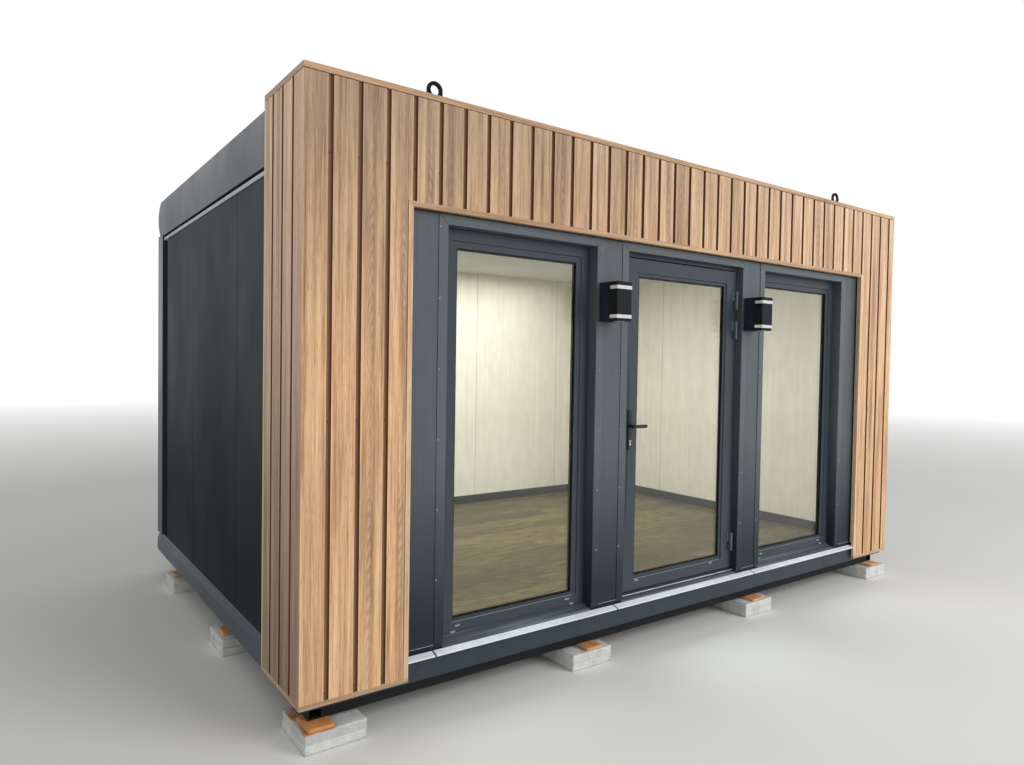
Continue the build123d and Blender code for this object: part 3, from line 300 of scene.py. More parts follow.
@dataclass
class OakGrainBoards(Finish):
    """Wood-effect composite boards: extruded, with an oak grain printed and pressed into the skin.

    The eye sees golden tan boards with fine soft streaks, flame-shaped arches and dark pores down the
    middle of some boards, a painted highlight along their edges, a small change of tone from board to
    board, painted shade that greys the top of the front and darkens the sides low down, painted light
    near the top of the sides, and brown painted shade in the grooves, darkest on their flanks.
    """

    pale: str = "f0c899"
    body: str = "d6aa7f"
    deep: str = "926a44"
    mottle: str = "856450"
    # Pale colour of the painted highlight along the boards' rounded edges
    edge: str = "eecbaa"
    # Browns of the painted shade on the groove flanks and floors
    flank_shade: str = "683e22"
    groove_floor_shade: str = "8d6648"
    streak_size: tuple[float, float] = (26 * MM, 0.9)
    line_size: tuple[float, float] = (6 * MM, 0.22)
    line_share: float = 0.4
    pore_size: tuple[float, float] = (3.5 * MM, 55 * MM)
    pore_span: Span = (0.55, 0.75, 0.0, 0.4)
    board_shift: tuple[float, float, float] = (0.3, 0.3, 37.0)
    board_tone: Span = (0.0, 1.0, 0.92, 1.06)
    ring_gap: float = 62 * MM
    ring_bend: float = 3.0
    ring_edge: Span = (-0.6, 1.0, 0.15, 1.0)
    ring_tone: Span = (0.0, 1.0, 0.3, 0.7)
    arch: float = 230.0
    figure_halves: tuple[float, float] = (12.6 * MM, 36 * MM)
    figure_middle: Span = (0.0, 1.0, 0.4, 0.62)
    figured_boards: Span = (0.3, 0.65, 0.12, 1.0)
    figure_patches: Span = (0.35, 0.6, 0.35, 1.0)
    patch_size: Size = (500 * MM, 500 * MM, 588.24 * MM)
    edge_highlight_span: Span = (0.34, 0.41, 0.0, 0.4)
    # Painted light and shade: the sides and outer ends darker low down and lighter near the top, and the
    # front greyer and darker near the top, most at the left
    side_light_and_shade: Span = (0.3, 2.9, 0.45, 1.15)
    end_light_and_shade: Span = (0.3, 2.9, 0.48, 1.18)
    top_shade_heights: Span = (1.7, 2.9, 0.0, 1.0)
    left_shade_reach: Span = (-2.0, 1.5, 1.0, 0.15)
    top_shade_value: Span = (0.0, 1.0, 1.02, 0.6)
    shade_saturation: Span = (0.0, 1.0, 1.0, 0.84)
    # Depths behind the face where the painted groove shade starts, on the flanks and on the floor
    flank_depths: tuple[float, float] = (0.5 * MM, 1.5 * MM)
    floor_depths: tuple[float, float] = (13 * MM, 14 * MM)
    groove_shade_share: float = 0.92
    pitch: float = 0.137
    first_groove: float = 0.0
    front: float = 0.0
    outer_end: float = 99.0
    boards: Axis | None = None
    grain: Grain = Grain.UPRIGHT
    uneven: tuple[float, float] = (-0.06, 0.1)

    def lie(self, width: float, length: float) -> Size:
        """Turns a pattern's size so that its length lies along the grain.

        Args:
            width: its size across the grain.
            length: its size along the grain.

        Returns:
            Its size along x, y and z.
        """
        return (length, length, width) if self.grain is Grain.LEVEL else (width, width, length)

    def paint(self) -> Feeds:
        """Adds streaks, arches, pores, tones by board, a painted highlight on the edges, painted light and
        shade by height, and painted shade in the grooves.

        Returns:
            What feeds the shader.
        """
        at = self.axes()
        tone: Any = 0.5
        offset = None
        if self.boards:
            along = self.add("Math", (at[self.boards.value], self.first_groove), operation="SUBTRACT")
            place = self.add("Math", (along, self.pitch), operation="DIVIDE")
            number = self.add("Math", [place], operation="FLOOR")
            within = self.add("Math", [place], operation="FRACT")
            random = self.add("TexWhiteNoise", {"W": number}, noise_dimensions="1D")
            tone, chance = random.outputs["Value"], random.outputs["Color"]
            offset = self.add("VectorMath", (chance, self.board_shift), operation="MULTIPLY")
        wide, fine = (
            self.add("TexNoise", {
                "Vector": self.spread(self.lie(*size), offset), "Scale": 1.0, "Detail": 3.0,
                "Roughness": roughness, "Distortion": distortion,
            })
            for size, roughness, distortion in ((self.streak_size, 0.55, 0.25), (self.line_size, 0.65, 0.0))
        )
        streaks = self.add("Mix", {0: self.line_share, 2: wide, 3: fine})
        colour = self.add(
            "ValToRGB", [streaks], stops=[(0.33, self.deep), (0.5, self.body), (0.64, self.pale)]
        )
        if self.boards:
            colour = self.figured(colour, within, chance, at["Z"], wide)
        dashes = self.add("TexNoise", {
            "Vector": self.spread(self.lie(*self.pore_size), offset), "Scale": 1.0, "Detail": 1.0
        })
        # The pores are drawn about four times too wide, so that they show
        pores = self.add("MapRange", (dashes, *self.pore_span))
        colour = self.add("Mix", {0: pores, 6: colour, 7: self.mottle}, data_type="RGBA")
        strength = self.add("MapRange", (tone, *self.board_tone))
        colour = self.add("HueSaturation", {"Value": strength, "Color": colour})
        if self.boards:
            colour = self.shade_grooves(self.paint_light_and_shade(colour, at), at)
        return {
            "Base Color": colour,
            "Roughness": self.add("MapRange", (fine, 0.0, 1.0, *self.gloss)),
            "Normal": self.add("Bump", {"Height": streaks, "Strength": 0.35, "Distance": 0.6 * MM}),
        }

    def figured(self, colour: Any, within: Any, chance: Any, height: Any, wide: Any) -> Any:
        """Adds the arched figure down some boards, and a painted highlight along the edges of all.

        Args:
            colour: the streaked colour so far.
            within: the place across the board, from 0 to 1 between groove middles.
            chance: the board's own random colour.
            height: the height above the ground.
            wide: the broad streaks, which bend the arches.

        Returns:
            The colour with the figure worked in.
        """
        draws = self.add("SeparateColor", [chance]).outputs
        middle = self.add("MapRange", (draws[0], *self.figure_middle))
        across = self.add("Math", (within, middle), operation="SUBTRACT")
        across = self.add("Math", (across, self.pitch), operation="MULTIPLY")
        bowed = self.add("Math", (across, 2.0), operation="POWER")
        rise = self.add("Math", (bowed, self.arch, height), operation="MULTIPLY_ADD")
        bend = self.ring_bend * self.ring_gap
        bent = self.add("Math", (wide, bend, rise), operation="MULTIPLY_ADD")
        turns = self.add("Math", (bent, 2 * math.pi / self.ring_gap), operation="MULTIPLY")
        rings = self.add("Math", [turns], operation="SINE")
        rings = self.add("MapRange", (rings, *self.ring_edge))
        rings = self.add("MapRange", (rings, *self.ring_tone))
        aside = self.add("Math", [across], operation="ABSOLUTE")
        fading = (aside, *self.figure_halves, 1.0, 0.0)
        amount = self.add("MapRange", fading, interpolation_type="SMOOTHSTEP")
        chosen = self.add("MapRange", (draws[1], *self.figured_boards))
        patch = self.add("TexNoise", size=self.patch_size)
        patch = self.add("MapRange", (patch, *self.figure_patches))
        for factor in (chosen, patch, rings):
            amount = self.add("Math", (amount, factor), operation="MULTIPLY")
        colour = self.add("Mix", {0: amount, 6: colour, 7: self.mottle}, data_type="RGBA")
        # Painted highlight: a pale band along both sides of each board, next to the grooves
        off = self.add("Math", (within, 0.5), operation="SUBTRACT")
        off = self.add("Math", [off], operation="ABSOLUTE")
        side = self.add("MapRange", (off, *self.edge_highlight_span))
        return self.add("Mix", {0: side, 6: colour, 7: self.edge}, data_type="RGBA")

    def paint_light_and_shade(self, colour: Any, at: Any) -> Any:
        """Paints light and shade into the boards: the side boards and the legs' outer ends lighter near the
        top and darker low down, and the front ones greyer near the top and darker there, most at the left.

        Args:
            colour: the colour so far.
            at: the place along each axis.

        Returns:
            The faded colour.
        """
        depth: Any = self.shade_saturation[3]
        # Painted light and shade on the side boards, by height
        if self.boards is Axis.Y:
            value = self.add("MapRange", (at["Z"], *self.side_light_and_shade))
        else:
            # Painted shade on the front near the top, most at the left, and painted light and shade on the
            # legs' outer ends
            height = self.add("MapRange", (at["Z"], *self.top_shade_heights))
            side = self.add("MapRange", (at["X"], *self.left_shade_reach))
            share = self.add("Math", (height, side), operation="MULTIPLY")
            value = self.add("MapRange", (share, *self.top_shade_value))
            depth = self.add("MapRange", (height, *self.shade_saturation))
            reach = self.add("Math", [at["X"]], operation="ABSOLUTE")
            outer = self.add("Math", (reach, self.outer_end), operation="GREATER_THAN")
            end = self.add("MapRange", (at["Z"], *self.end_light_and_shade))
            value = self.add("Mix", {0: outer, 2: value, 3: end})
        return self.add("HueSaturation", {"Value": value, "Saturation": depth, "Color": colour})

    def shade_grooves(self, colour: Any, at: Any) -> Any:
        """Paints shade into the grooves and rebates by their depth, darkest on the flanks, and leaves the
        outer corner alone.

        Args:
            colour: the board's colour.
            at: the place along each axis.

        Returns:
            The colour with brown painted shade in the grooves.
        """
        reach = self.add("Math", [at["X"]], operation="ABSOLUTE")
        inside = self.add("Math", (reach, self.outer_end), operation="LESS_THAN")
        level, inward = (reach, -1) if self.boards is Axis.Y else (at["Y"], 1)
        # Painted shade: brown in the grooves and rebates, darkest on their flanks
        for depths, code in ((self.flank_depths, self.flank_shade), (self.floor_depths, self.groove_floor_shade)):
            start, end = (self.front + inward * depth for depth in depths)
            share = self.add("MapRange", (level, start, end, 0.0, self.groove_shade_share))
            share = self.add("Math", (share, inside), operation="MULTIPLY")
            colour = self.add("Mix", {0: share, 6: colour, 7: code}, data_type="RGBA")
        return colour


@dataclass
class CoatedSteel(Finish):
    """Coil-coated steel sheet: zinc-plated, with a rolled polyester paint baked on.

    The eye sees an even satin skin with a very fine orange peel, a slow waviness that bends
    reflections, faint rain marks, and a little grey road dust low down.
    """

    roughness: float = 0.36
    ior: float = 1.4
    paint_colour: str = "2a3743"
    coat_tone: Span = (0.3, 0.7, 0.92, 1.09)
    rain_share: float = 0.4
    dust_colour: str = "77756f"
    dust_height: float = 0.55
    dust_foot: float = 0.15
    dust_share: float = 0.1
    dust_patches: Span = (0.45, 0.7, 0.2, 1.0)
    dust_size: Size = (3.3333 * MM, 3.3333 * MM, 5 * MM)
    cloud_size: Size = (90.909 * MM, 90.909 * MM, 181.82 * MM)
    rain_size: Size = (35.714 * MM, 35.714 * MM, 1250 * MM)
    peel_size: Size = (6 * MM, 6 * MM, 6 * MM)
    wave_size: Size = (450 * MM, 450 * MM, 750 * MM)
    # Painted shade towards the foot: its colour, how much, the heights where it fades in, and how far it dims
    # the reflection
    foot_shade_colour: str = "18252e"
    foot_shade_share: float = 0.0
    foot_shade_heights: tuple[float, float] = (1.25, 0.42)
    foot_shade_shine: Span = (0.0, 1.0, 0.5, 0.12)
    smear: float = 0.0
    smear_size: Size = (909.09 * MM, 14.286 * MM, 14.286 * MM)
    smear_levels: tuple[float, float] = (0.48, 0.68)

    def paint(self) -> Feeds:
        """Adds dust, rain marks, orange peel and a slow wave."""
        return self.soil_and_shade(self.coat(self.paint_colour)) | self.skin()

    def soil_and_shade(self, colour: Any) -> Feeds:
        """Adds painted shade that darkens the coat and dims its reflection towards the foot, wiped streaks
        and dust that fades with height.

        Args:
            colour: the clean coat.

        Returns:
            The soiled colour with the painted shade, and the shine where the painted shade dims it.
        """
        height = self.axes()["Z"]
        feeds = {}
        # Painted shade: the coat darker and less reflective towards the foot
        if self.foot_shade_share:
            share = self.add("MapRange", (height, *self.foot_shade_heights, 0.0, self.foot_shade_share))
            colour = self.add("Mix", {0: share, 6: colour, 7: self.foot_shade_colour}, data_type="RGBA")
            feeds["Specular IOR Level"] = self.add("MapRange", (share, *self.foot_shade_shine))
        if self.smear:
            wiped = self.add("TexNoise", {"Detail": 4.0, "Distortion": 0.3}, size=self.smear_size)
            share = self.add("MapRange", (wiped, *self.smear_levels, 0.0, self.smear))
            colour = self.add("Mix", {0: share, 6: colour, 7: self.dust_colour}, data_type="RGBA")
        amount = self.add("MapRange", (height, self.dust_height, self.dust_foot))
        speckle = self.add("TexNoise", {"Detail": 4.0}, size=self.dust_size)
        for factor in (self.add("MapRange", (speckle, *self.dust_patches)), self.dust_share):
            amount = self.add("Math", (amount, factor), operation="MULTIPLY")
        dusty = self.add("Mix", {0: amount, 6: colour, 7: self.dust_colour}, data_type="RGBA")
        return feeds | {"Base Color": dusty}

    def coat(self, code: str) -> Any:
        """Gives the paint's colour with a small cloudy change and rain marks.

        Args:
            code: the paint's hex colour.

        Returns:
            The node with the colour.
        """
        cloud = self.add("TexNoise", {"Detail": 3.0}, size=self.cloud_size)
        rain = self.add("TexNoise", {"Detail": 2.0}, size=self.rain_size)
        both = self.add("Mix", {0: self.rain_share, 2: cloud, 3: rain})
        value = self.add("MapRange", (both, *self.coat_tone))
        return self.add("HueSaturation", {"Value": value, "Color": code})

    def skin(self) -> Feeds:
        """Adds the gloss and the surface's relief.

        Returns:
            What feeds the shader.
        """
        grit = self.add("TexNoise", {"Detail": 1.0}, size=self.peel_size)
        slow = self.add("TexNoise", size=self.wave_size)
        wavy = self.add("Bump", {"Height": slow, "Strength": 0.5, "Distance": 3 * MM})
        return {
            "Roughness": self.add("MapRange", (slow, *self.gloss_levels, *self.gloss)),
            "Normal": self.add("Bump", {
                "Height": grit, "Strength": 0.12, "Distance": 0.2 * MM, "Normal": wavy
            }),
        }


@dataclass
class PanelSkins(CoatedSteel):
    """Insulated panel: an outer coated sheet, and a pale liner with panel joints indoors."""

    liner: str = "efe9da"
    joint: str = "8d9090"
    joint_pitch: float = 1.06
    joint_width: float = 4 * MM
    room_low: tuple[float, float] = (0.0, 0.0)
    room_high: tuple[float, float] = (0.0, 0.0)

    def paint(self) -> Feeds:
        """Adds the outer coat, and the liner with its joints inside the room.

        Returns:
            What feeds the shader.
        """
        feeds = super().paint()
        at = self.axes()
        indoors: Any = 1.0
        for axis, low, high in zip("XY", self.room_low, self.room_high):
            middle, reach = (low + high) / 2, (high - low) / 2
            inside = self.add("Math", (at[axis], middle, reach), operation="COMPARE")
            indoors = self.add("Math", (inside, indoors), operation="MULTIPLY")
        value: Any = at["X"]
        for operation, operand in (
            ("ADD", at["Y"]), ("DIVIDE", self.joint_pitch), ("FRACT", 0.0),
            ("LESS_THAN", self.joint_width / self.joint_pitch),
        ):
            value = self.add("Math", (value, operand), operation=operation)
        liner = self.coat(self.liner)
        inner = self.add("Mix", {0: value, 6: liner, 7: self.joint}, data_type="RGBA")
        outer = feeds["Base Color"]
        feeds["Base Color"] = self.add("Mix", {0: indoors, 6: outer, 7: inner}, data_type="RGBA")
        return feeds


@dataclass
class FoiledPvc(Finish):
    """Window profile of extruded PVC with a pressed anthracite foil.

    The eye sees a soft sheen and a very fine leathery grain that runs along the profile.
    """

    roughness: float = 0.42
    ior: float = 1.48
    foil: str = "343d45"
    foil_tone: Span = (0.3, 0.7, 0.9, 1.1)
    grain_size: Size = (3 * MM, 3 * MM, 28 * MM)
    cloud_size: Size = (333.33 * MM, 333.33 * MM, 500 * MM)
    uneven: tuple[float, float] = (-0.06, 0.08)

    def paint(self) -> Feeds:
        """Adds the foil's grain, drawn coarse enough to show.

        Returns:
            What feeds the shader.
        """
        grain = self.add("TexNoise", {"Detail": 3.0}, size=self.grain_size)
        cloud = self.add("TexNoise", size=self.cloud_size)
        both = self.add("Mix", {0: 0.5, 2: cloud, 3: grain})
        value = self.add("MapRange", (both, *self.foil_tone))
        return {
            "Base Color": self.add("HueSaturation", {"Value": value, "Color": self.foil}),
            "Roughness": self.add("MapRange", (grain, 0.0, 1.0, *self.gloss)),
            "Normal": self.add("Bump", {"Height": grain, "Strength": 0.25, "Distance": 0.2 * MM}),
        }


@dataclass
class SealedGlass(Finish):
    """Clear float glass in a sealed unit: flat, faintly green, with a faint dusty film.

    The eye sees through it, with a clean mirror of what is in front.
    """

    roughness: float = 0.0
    ior: float = 1.45
    tint: str = "f1f6f3"
    film: Span = (0.55, 0.8, 0.0, 0.03)
    film_size: Size = (40 * MM, 40 * MM, 66.667 * MM)

    def paint(self) -> Feeds:
        """Makes the glass clear, with the film.

        Returns:
            What feeds the shader.
        """
        film = self.add("TexNoise", {"Detail": 5.0}, size=self.film_size)
        gloss = self.add("MapRange", (film, *self.film))
        return {"Base Color": self.tint, "Transmission Weight": 1.0, "Roughness": gloss}

    def cover(self, shader: Any) -> Any:
        """Lets the lamps shine through the glass.

        Args:
            shader: the glass.

        Returns:
            The glass, which is clear to the lamps' rays.
        """
        clear = self.add("BsdfTransparent", {"Color": self.tint})
        lamp_ray = self.add("LightPath").outputs["Is Shadow Ray"]
        return self.add("MixShader", (lamp_ray, shader, clear))


@dataclass
class CastConcrete(Finish):
    """Cast concrete block: grey cement with fine grit, air holes and damp patches."""

    roughness: float = 0.92
    cement: str = "d3d4d2"
    shade: str = "b3b4b2"
    pale: str = "e1e1dd"
    pit: str = "6b6b67"
    grit_size: Size = (9 * MM, 9 * MM, 9 * MM)
    damp_size: Size = (71.429 * MM, 71.429 * MM, 71.429 * MM)
    hole_size: Size = (14 * MM, 14 * MM, 14 * MM)
    hole_span: Span = (0.08, 0.2, 0.8, 0.0)
    rust: str = "b8783f"
    rust_end: tuple[float, float] = (-2.29, -1.3)
    rust_fade: float = 0.05
    rust_heights: tuple[float, float] = (82 * MM, 91 * MM)
    rust_patches: Span = (0.4, 0.58, 0.15, 0.95)
    seam_height: float = 46 * MM
    seam_half: float = 1.2 * MM
    seam_step: float = 4 * MM
    seam_end: float = -1.3
    seam_share: float = 0.3
    # Painted shade over the upper half of the front left block
    upper_shade: str = "8f9193"
    upper_shade_share: float = 0.35
    upper_shade_end: float = -2.1

    def paint(self) -> Feeds:
        """Adds grit, air holes, damp patches and marks.

        Returns:
            What feeds the shader.
        """
        grit = self.add("TexNoise", {"Detail": 6.0, "Roughness": 0.7}, size=self.grit_size)
        patch = self.add("TexNoise", {"Detail": 4.0}, size=self.damp_size)
        both = self.add("Mix", {0: 0.5, 2: grit, 3: patch})
        colour = self.add(
            "ValToRGB", [both], stops=[(0.33, self.shade), (0.5, self.cement), (0.68, self.pale)]
        )
        holes = self.add("TexVoronoi", {"Randomness": 1.0}, size=self.hole_size)
        pit = self.add("MapRange", (holes, *self.hole_span))
        colour = self.add("Mix", {0: pit, 6: colour, 7: self.pit}, data_type="RGBA")
        height = self.add("Math", (grit, pit), operation="SUBTRACT")
        return {
            "Base Color": self.marked(colour, patch),
            "Normal": self.add("Bump", {"Height": height, "Strength": 0.7, "Distance": 2 * MM}),
        }

    def marked(self, colour: Any, patch: Any) -> Any:
        """Adds rust that has run down the front left block, a casting seam on the front ones, and painted
        shade on the upper half of the front left block.

        Args:
            colour: the colour so far.
            patch: the damp patches, which break up the rust.

        Returns:
            The marked colour.
        """
        at = self.axes()
        low, high = self.rust_heights
        masks = [self.add("MapRange", (at["Z"], low, high))]
        for axis, end in zip("XY", self.rust_end):
            masks.append(self.add("MapRange", (at[axis], end - self.rust_fade, end, 1.0, 0.0)))
        masks.append(self.add("MapRange", (patch, *self.rust_patches)))
        seam = self.add("Math", (at["Z"], self.seam_height, self.seam_half), operation="COMPARE")
        fore = self.add("Math", (at["Y"], self.seam_end), operation="LESS_THAN")
        # Painted shade: the upper half of the front left block darker
        left = self.add("Math", (at["X"], self.upper_shade_end), operation="LESS_THAN")
        over = self.seam_height + self.seam_step
        upper = self.add("MapRange", (at["Z"], self.seam_height, over, 0.0, self.upper_shade_share))
        below = self.add("MapRange", (at["Z"], low, high, 1.0, 0.0))
        for (amount, *others), code in (
            (masks, self.rust), ((seam, fore, self.seam_share), self.pit),
            ((upper, fore, below, left), self.upper_shade),
        ):
            for factor in others:
                amount = self.add("Math", (amount, factor), operation="MULTIPLY")
            colour = self.add("Mix", {0: amount, 6: colour, 7: code}, data_type="RGBA")
        return colour


@dataclass
class SawnSoftwood(Finish):
    """Sawn pine: rough from the saw, yellow-brown, with one pad stained rusty by the steel on it."""

    roughness: float = 0.8
    pale: str = "e8bb8c"
    deep: str = "bb7d4e"
    stain: str = "cc8a48"
    grain_size: Size = (140 * MM, 350 * MM, 5 * MM)
    blotch_size: Size = (45.455 * MM, 45.455 * MM, 45.455 * MM)
    stained_below: tuple[float, float] = (-1.9, -1.2)
    stain_patches: Span = (0.35, 0.6, 0.35, 0.95)

    def paint(self) -> Feeds:
        """Adds the grain, the saw marks and the stain on the front left pad.

        Returns:
            What feeds the shader.
        """
        grain = self.add("TexNoise", {"Detail": 4.0, "Distortion": 0.4}, size=self.grain_size)
        colour = self.add("ValToRGB", [grain], stops=[(0.32, self.deep), (0.66, self.pale)])
        at = self.axes()
        left, fore = (
            self.add("Math", (at[axis], end), operation="LESS_THAN")
            for axis, end in zip("XY", self.stained_below)
        )
        corner = self.add("Math", (left, fore), operation="MULTIPLY")
        blotch = self.add("TexNoise", size=self.blotch_size)
        share = self.add("MapRange", (blotch, *self.stain_patches))
        amount = self.add("Math", (corner, share), operation="MULTIPLY")
        return {
            "Base Color": self.add("Mix", {0: amount, 6: colour, 7: self.stain}, data_type="RGBA"),
            "Normal": self.add("Bump", {"Height": grain, "Strength": 0.6, "Distance": 1 * MM}),
        }


@dataclass
class MillAluminium(Finish):
    """Bare pressed aluminium: bright and slightly brushed along its length, dulled by weather."""

    roughness: float = 0.34
    metallic: float = 1.0
    metal: str = "d3d9dd"
    dull: str = "a9b0b5"
    dull_levels: tuple[float, float] = (0.4, 0.75)
    line_size: Size = (333.33 * MM, 3.8462 * MM, 3.8462 * MM)
    mark_size: Size = (62.5 * MM, 33.333 * MM, 33.333 * MM)
    uneven: tuple[float, float] = (-0.08, 0.14)

    def paint(self) -> Feeds:
        """Adds rolling lines and dull weather marks.

        Returns:
            What feeds the shader.
        """
        rolled = self.add("TexNoise", size=self.line_size)
        marks = self.add("TexNoise", {"Detail": 5.0}, size=self.mark_size)
        share = self.add("MapRange", (marks, *self.dull_levels))
        return {
            "Base Color": self.add("Mix", {0: share, 6: self.metal, 7: self.dull}, data_type="RGBA"),
            "Roughness": self.add("MapRange", (rolled, 0.0, 1.0, *self.gloss)),
        }


@dataclass
class LaminatePlanks(Finish):
    """Laminate floor: printed oak planks with bevelled edges, laid along the room."""

    roughness: float = 0.45
    ior: float = 1.35
    pale: str = "857546"
    deep: str = "2f271b"
    plank: float = 0.19
    length: float = 1.28
    stagger: float = 0.37
    joint: float = 1.6 * MM
    grain_size: Size = (142.86 * MM, 19 * MM, 19 * MM)

    def paint(self) -> Feeds:
        """Adds planks of differing tone, their grain and their joints.

        Returns:
            What feeds the shader.
        """
        planks = self.add("TexBrick", {
            "Vector": self.spread(), "Color1": "ffffff", "Color2": "8a8a86",
            "Mortar": "303030", "Scale": 1.0, "Mortar Size": self.joint, "Brick Width": self.length,
            "Row Height": self.plank,
        }, offset=self.stagger)
        grain = self.add(
            "TexNoise", {"Detail": 5.0, "Roughness": 0.7, "Distortion": 0.4}, size=self.grain_size
        )
        colour = self.add("ValToRGB", [grain], stops=[(0.36, self.deep), (0.62, self.pale)])
        toned = {0: 0.75, 6: colour, 7: planks}
        return {
            "Base Color": self.add("Mix", toned, data_type="RGBA", blend_type="MULTIPLY"),
            "Normal": self.add("Bump", {"Height": grain, "Strength": 0.2, "Distance": 0.3 * MM}),
        }


@dataclass
class PaintedBoard(Finish):
    """Ceiling board with white paint rolled on: matt, with a soft roller stipple and panel joints."""

    roughness: float = 0.75
    white: str = "cfd0cd"
    panel: float = 1.2
    joint: float = 2.5 * MM
    stipple_size: Size = (5.5556 * MM, 5.5556 * MM, 5.5556 * MM)

    def paint(self) -> Feeds:
        """Adds the joints and the stipple.

        Returns:
            What feeds the shader.
        """
        boards = self.add("TexBrick", {
            "Vector": self.spread(), "Color1": self.white, "Color2": "d8dad8",
            "Mortar": "a8aaa9", "Scale": 1.0, "Mortar Size": self.joint, "Brick Width": self.panel,
            "Row Height": self.panel,
        }, offset=0.0)
        stipple = self.add("TexNoise", size=self.stipple_size)
        bump = self.add("Bump", {"Height": stipple, "Strength": 0.2, "Distance": 0.3 * MM})
        return {"Base Color": boards, "Normal": bump}


@dataclass
class Moulded(Finish):
    """Moulded or coated small part: one colour with a fine texture and faint rubbed wear."""

    colour: str = "202224"
    worn: str = "34373a"
    texture_size: Size = (4 * MM, 4 * MM, 4 * MM)
    rub_size: Size = (41.667 * MM, 41.667 * MM, 58.824 * MM)
    relief: float = 0.15 * MM
    wear: Span = (0.45, 0.8, 0.0, 0.7)
    uneven: tuple[float, float] = (-0.07, 0.09)

    def paint(self) -> Feeds:
        """Adds the texture and the wear.

        Returns:
            What feeds the shader.
        """
        grain, rub = (
            self.add("TexNoise", {"Detail": detail}, size=size)
            for size, detail in ((self.texture_size, 3.0), (self.rub_size, 5.0))
        )
        share = self.add("MapRange", (rub, *self.wear))
        return {
            "Base Color": self.add("Mix", {0: share, 6: self.colour, 7: self.worn}, data_type="RGBA"),
            "Roughness": self.add("MapRange", (rub, *self.gloss_levels, *self.gloss)),
            "Normal": self.add("Bump", {"Height": grain, "Strength": 0.3, "Distance": self.relief}),
        }


@dataclass
class StudioFloor(Finish):
    """Plain pale studio floor that keeps the cabin's shadow and fades to white far away."""

    roughness: float = 0.9
    pale: str = "e6e6e3"
    fade: tuple[float, float] = (7.0, 26.0)

    def paint(self) -> Feeds:
        """Gives the plain colour."""
        return {"Base Color": self.pale}

    def cover(self, shader: Any) -> Any:
        """Mixes in white with the distance from the cabin, for the eye alone.

        Args:
            shader: the plain floor.

        Returns:
            The floor that fades.
        """
        place = self.add("TexCoord").outputs["Object"]
        away = self.add("VectorMath", [place], operation="LENGTH")
        far = self.add("MapRange", (away, *self.fade))
        amount = self.add("Math", (far, self.eye_rays()), operation="MULTIPLY")
        return self.add("MixShader", (amount, shader, self.add("Emission")))


ANTHRACITE = CoatedSteel("coated_steel_anthracite")
# Painted light: a paler copy of the anthracite steel for the front flashings and ribs, for the sky they
# reflect, with painted shade towards the foot
SKY_LIT = CoatedSteel("coated_steel_anthracite_front_painted_light", paint_colour="4f565b", ior=1.58, foot_shade_share=0.9)
SILL_STEEL = CoatedSteel(
    "coated_steel_sill", paint_colour="37424a", ior=1.5, smear=0.7, dust_share=0.3, dust_height=0.5,
    dust_colour="7f898f",
)
HEM_STEEL = CoatedSteel("coated_steel_hem", paint_colour="8f9a9e", dust_share=0.0)
BLACK_STEEL = CoatedSteel(
    "coated_steel_black", paint_colour="101214", roughness=0.6, ior=1.25, dust_share=0.12
)
PALE_STEEL = CoatedSteel("coated_steel_pale", paint_colour="a9b2ba", roughness=0.4, dust_share=0.0)
PALE_CILL = CoatedSteel(
    "coated_steel_cill", paint_colour="e6edf2", roughness=0.42, ior=1.5, dust_share=0.25, dust_height=0.33
)
PVC = FoiledPvc("foiled_pvc_anthracite")
GLASS = SealedGlass("sealed_float_glass")
CONCRETE = CastConcrete("cast_concrete")
SOFTWOOD = SawnSoftwood("sawn_pine")
MILL_METAL = MillAluminium("mill_aluminium")
LAMINATE = LaminatePlanks("laminate_oak_planks")
CEILING = PaintedBoard("painted_ceiling_board")
SKIRTING = Moulded("extruded_skirting", roughness=0.5, colour="1d2221", worn="2b3130")
HANDLE_BLACK = Moulded("powder_coated_handle", roughness=0.38, colour="15161a", worn="2b2d31")
HINGE_GREY = Moulded("powder_coated_hinge", roughness=0.42, colour="4e585f", worn="626c72")
LAMP_BLACK = Moulded("moulded_lamp_black", roughness=0.5, ior=1.33, colour="0c0f13", worn="15191e")
# Black for the rubber seals, and for painted shadow in the cill joints, over the flashings and in the keyways
RUBBER_AND_SHADOW = Moulded("rubber_seal_and_painted_shadow", roughness=0.62, colour="121314", worn="1d1e1f")
CHROME = Moulded(
    "chrome_plate", roughness=0.1, metallic=1.0, colour="dadde0", worn="c6cacd", relief=0.02 * MM
)
NICKEL = Moulded(
    "nickel_plate", roughness=0.24, metallic=1.0, colour="dddcd8", worn="c4c3be", relief=0.05 * MM
)
ZINC = Moulded("zinc_plated_steel", roughness=0.4, metallic=1.0, colour="b6babc", worn="8f9395")
PAINTED_SCREW = Moulded("painted_screw_head", roughness=0.4, colour="7d8a90", worn="98a3a8")
BROWN_SCREW = Moulded("brown_lacquered_screw", roughness=0.55, colour="4f3120", worn="6b4a34")
DRAIN_GREY = Moulded("moulded_drain_cap_grey", roughness=0.4, colour="92989d", worn="7f858a")
# Pale grey for the painted highlight along the window and door frames' lower edges
EDGE_HIGHLIGHT_GREY = Moulded("grey_painted_edge_highlight", roughness=0.5, colour="8c9092", worn="7b8082")
MOUNT_GREY = Moulded("moulded_lamp_mount", roughness=0.55, ior=1.33, colour="182230", worn="222d3a")
LENS = Moulded("frosted_lamp_lens", roughness=0.35, colour="d9dad6", worn="cfd0cc")


# Repeats and strips made by node trees

class HeadShape(Enum):
    """How many sides a fixing's head has."""

    ROUND = 16
    HEX = 6


